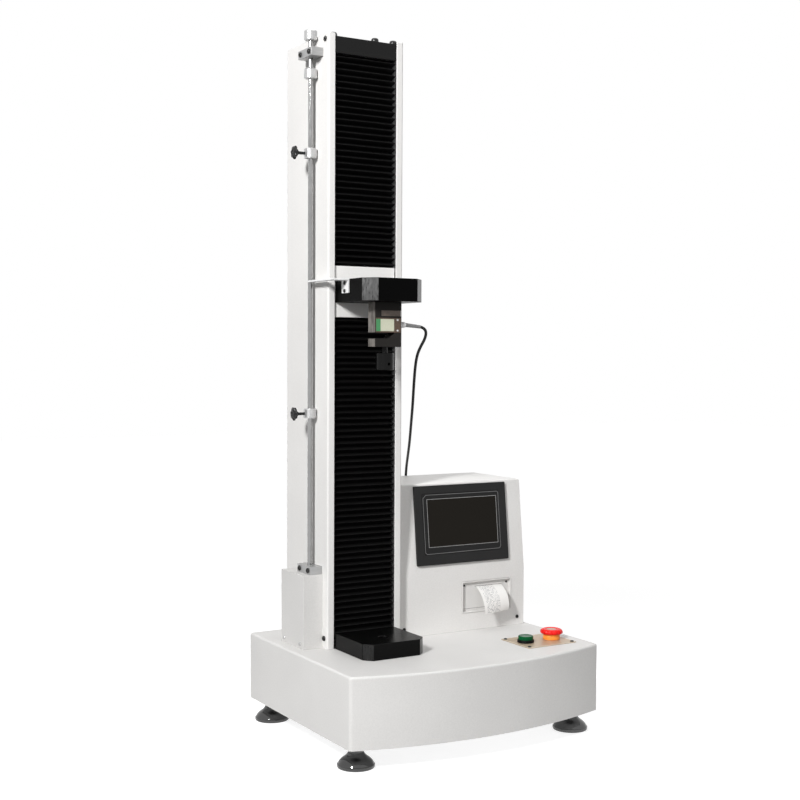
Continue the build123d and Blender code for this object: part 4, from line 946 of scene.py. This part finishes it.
def add_load_cell_details():
    """Brown gauge cover with a bare plate in two colours and two screws, and a brown sheet in the upper slot that is
    painted shade of the carriage plate seen through it.
    """
    front = -60.0

    def plate(x0, x1, z0, z1, thick):
        outline = round_rectangle((x1 - x0) * MM, (z1 - z0) * MM, 0.6 * MM, 3)
        place = at((x0 + x1) / 2 * MM, front * MM, (z0 + z1) / 2 * MM, (0, -1, 0))
        return moved(prism(outline, 0, thick * MM), place)

    piece("cell_cover", [plate(-139.2, -91.2, 691.4, 715.6, 0.3)], "boot_rubber", "crosshead", POTTING)
    front -= 0.3
    piece("cell_plate_green", [plate(-138.3, -130.2, 693.6, 713.6, 0.35)], "green_plastic", "crosshead", LABEL_GREEN)
    piece("cell_plate_cream", [plate(-130.0, -104.4, 693.6, 713.6, 0.35)], "paper", "crosshead", LABEL_CREAM)
    # Brown sheet in the slot: painted shade of the carriage plate seen through it
    shade_sheet = box_shape((-127.9 * MM, -0.0575, 718.60 * MM), (-90.2 * MM, -0.0560, 727.90 * MM))
    piece("cell_slot_shade", [shade_sheet], "boot_rubber", "crosshead", SLOT_SHADE_BROWN)
    heads = []
    for z in (712.4, 694.8):
        seat = at(-97.5 * MM, front * MM, z * MM, (0, -1, 0))
        heads.append(moved(screw_head(3.6 * MM, 1.0 * MM, cross), seat))
    piece("cell_plate_screws", heads, "bright_zinc", "crosshead")


def add_gland():
    """Bright screwed gland, and a ribbed boot that tapers to the cable."""
    lip = Vector((-76.0, -48.0, 704.75)) * MM
    mouth = Vector(CABLE_POINTS[0]) * MM
    nut_low = blunt_hexagon(0.93)
    nut = scaled([
        (0, 0), (4.6, 0, nut_low), (5.0, 0.5, hexagon), (5.0, 6.0, hexagon), (4.7, 6.5, nut_low), (4.2, 6.6),
        (4.2, 7.4), (4.7, 7.6), (4.9, 8.2), (4.9, 12.6), (4.4, 13.8), (3.7, 14.0), (3.54, 13.8), (3.54, 9.0),
        (0, 9.0),
    ])
    seat = at(-0.090, lip.y, lip.z, (1, 0, 0))
    piece("cell_gland", [moved(lathe(nut, 72), seat)], "bright_plate", "crosshead", WHITE_ZINC, ["cable_gland"])
    run = mouth - lip
    length = run.length / MM
    rings = [(0, -5.8), (3.4, -5.8), (3.45, -0.2)]
    ribs, ribbed = 7, 0.80
    pitch = length * ribbed / ribs
    for i in range(ribs):
        z = length * (0.02 + ribbed * i / ribs)
        r = 3.45 - 0.45 * i / ribs
        rings += [(r, z), (r, z + 0.50 * pitch), (r - 0.55, z + 0.62 * pitch), (r - 0.55, z + 0.90 * pitch)]
    rings += [(3.0, length * 0.84), (2.9, length * 0.99), (2.56, length), (0, length)]
    piece("cable_boot", [moved(lathe(scaled(rings), 40), at(*lip, run))], "boot_rubber", "crosshead")


add_load_cell_details()
add_gland()


# Control box details

HMI_TILT = math.radians(6.3)
HMI_NORMAL = (0, -math.cos(HMI_TILT), math.sin(HMI_TILT))
# Millimetres: the panel's middle in X and the lower edge of the tilted front, the way up it to the panel's middle,
# and how far the bezel stands out
HMI_X, HMI_Y, HMI_Z = 97.6, 31.5, 262.0
HMI_UP = 88.0
HMI_PROUD = 5.0
# Millimetres that the outlines' plane lies out from the bezel's face
LINE_OUT = -0.5


def hmi_place(out):
    """Middle of the touch panel's face, moved out along its normal."""
    y = HMI_Y + HMI_UP * math.sin(HMI_TILT)
    z = HMI_Z + HMI_UP * math.cos(HMI_TILT)
    normal = Vector(HMI_NORMAL)
    origin = Vector((HMI_X, y, z)) + normal * (HMI_PROUD + out)
    x_axis = Vector((1, 0, 0))
    turn = Matrix((x_axis, normal.cross(x_axis), normal)).transposed()
    return Matrix.Translation(origin * MM) @ turn.to_4x4()


def add_hmi_lines():
    """Two thin outlines on the touch panel: the outer grey one is a painted highlight along the glass's edge, and the
    inner one marks the screen's edge.
    """
    outer = [
        (79.5, -50.5), (82.4, -47.0), (82.4, 51.5), (80.0, 54.6), (-74.5, 54.6), (-81.2, 48.6), (-81.2, -48.2),
        (-77.5, -51.6),
    ]
    inner = [(77.0, -39.6), (77.0, 46.8), (-73.2, 46.8), (-73.2, -39.6)]
    for name, outline, width, look in (
        ("glass_edge_highlight", outer, 0.9, SEAM_AND_HIGHLIGHT_GREY), ("screen_outline", inner, 0.8, LINE_LIGHT),
    ):
        loop = [(x * MM, y * MM) for x, y in outline]
        strip = prism(loop, -0.1 * MM, 0.12 * MM, inset(loop, width * MM))
        piece(name, [moved(strip, hmi_place(LINE_OUT))], "bezel_plastic", "frame", look)


def paper_finish():
    """Paper with faint rows of random dashes that form no letters."""
    material = finish("printed_paper", (0.84, 0.83, 0.81), (0.90, 0.89, 0.87), (0.75, 0.9), grain=1500.0)
    tree = material.node_tree
    sheet = wire(tree, "ShaderNodeUVMap", uv_map="sheet").outputs[0]
    across, along, _ = wire(tree, "ShaderNodeSeparateXYZ", Vector=sheet).outputs
    rows = math_node(tree, "MULTIPLY", along, 34.0)
    row = math_node(tree, "FLOOR", rows, 0.0)
    in_row = math_node(tree, "LESS_THAN", math_node(tree, "FRACT", rows, 0.0), 0.42)
    spot = wire(
        tree, "ShaderNodeCombineXYZ", X=math_node(tree, "MULTIPLY", across, 30.0),
        Y=math_node(tree, "MULTIPLY", row, 3.7),
    ).outputs[0]
    dash = wire(tree, "ShaderNodeTexNoise", Vector=spot, Scale=1.0, Detail=1.0).outputs["Fac"]
    in_dash = math_node(tree, "GREATER_THAN", dash, 0.50)
    off_edge = within(tree, across, 0.38, 0.28)
    ink = math_node(tree, "MULTIPLY", math_node(tree, "MULTIPLY", in_row, in_dash), off_edge)
    tint(material, ink, (0.36, 0.36, 0.37, 1.0))
    return material


def add_paper():
    """Paper strip that comes out of the printer's slot, over its lip and down, and curls more on its right side."""
    low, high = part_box("printer_paper")
    thick, steps, columns = 0.25, 48, 13
    length, curl_radius = 59.0, 53.0
    lines = []
    for k in range(columns):
        u = k / (columns - 1)
        line = [(56.4, 232.3), (44.0, 232.3), (40.0, 232.2)]
        y, z, heading = 36.4, 231.9, math.radians(22)
        step = (length - 3.5 * u) / steps
        for i in range(steps + 1):
            line.append((y, z))
            extra = 2.4 * u * max(0.0, i / steps - 0.30)
            heading += step * (1 + extra) / curl_radius
            y -= step * math.cos(heading)
            z -= step * math.sin(heading)
        lines.append(line)
    rows = len(lines[0])
    lengths = [0.0]
    for a, b in zip(lines[0], lines[0][1:]):
        lengths.append(lengths[-1] + math.dist(a, b))
    points, marks = [], []
    for push in (0, thick):
        for i in range(rows):
            for k, line in enumerate(lines):
                u = k / (columns - 1)
                before, after = line[max(i - 1, 0)], line[min(i + 1, rows - 1)]
                dy, dz = after[0] - before[0], after[1] - before[1]
                size = math.hypot(dy, dz)
                y, z = line[i]
                points.append(Vector((
                    low.x + (high.x - low.x) * u, (y + push * dz / size) * MM, (z - push * dy / size) * MM,
                )))
                marks.append((u, lengths[i] / lengths[-1]))
    faces = sheet_faces(rows, columns)
    strip = piece("paper_strip", [(points, faces)], "paper", "frame", paper_finish(), ["printer_paper"], sharp=50)
    layer_uv = strip.data.uv_layers.new(name="sheet")
    for loop in strip.data.loops:
        layer_uv.data[loop.index].uv = marks[loop.vertex_index]


def add_printer_details():
    """Tear bar over the paper slot, and the seam of the paper door."""
    low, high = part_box("printer_paper")
    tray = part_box("printer_housing")
    bar = [(35.5, 233.1), (36.5, 232.9), (36.5, 236.4), (35.9, 236.4), (35.5, 236.0)]
    shape = prism([(y * MM, z * MM) for y, z in bar], low.x - 0.003, high.x + 0.003)
    along_x = Matrix(((0, 0, 1, 0), (1, 0, 0, 0), (0, 1, 0, 0), (0, 0, 0, 1)))
    piece("tear_bar", [moved(shape, along_x)], "printer_plastic", "frame")
    seam = box_shape((tray[0].x + 0.006, 0.0364, 0.1925), (tray[1].x - 0.006, 0.0366, 0.1931))
    piece("door_seam", [seam], "printer_plastic", "frame", SEAM_AND_HIGHLIGHT_GREY)


def add_button_plate_edge():
    """Pale line round the button plate."""
    low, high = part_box("button_plate")
    loop = round_rectangle(high.x - low.x - 3.0 * MM, high.y - low.y - 3.0 * MM, 3.0 * MM)
    strip = prism(loop, 0, 0.15 * MM, inset(loop, 1.6 * MM))
    place = at((low.x + high.x) / 2, (low.y + high.y) / 2, high.z)
    piece("button_plate_line", [moved(strip, place)], "bronze_plate", "frame", PLATE_EDGE)


def add_rear_details():
    """Pins of the mains inlet."""
    blade = prism(round_rectangle(2.0 * MM, 4.0 * MM, 0.9 * MM, 4), 0, 15.0 * MM)
    pins = []
    for x, z in ((163.0, 190.0), (177.0, 190.0), (170.0, 194.0)):
        pins.append(moved(blade, at(x * MM, 0.1838, z * MM, (0, 1, 0))))
    piece("inlet_pins", pins, "bright_plate", "frame", BRASS)


add_hmi_lines()
add_paper()
add_printer_details()
add_button_plate_edge()
add_rear_details()
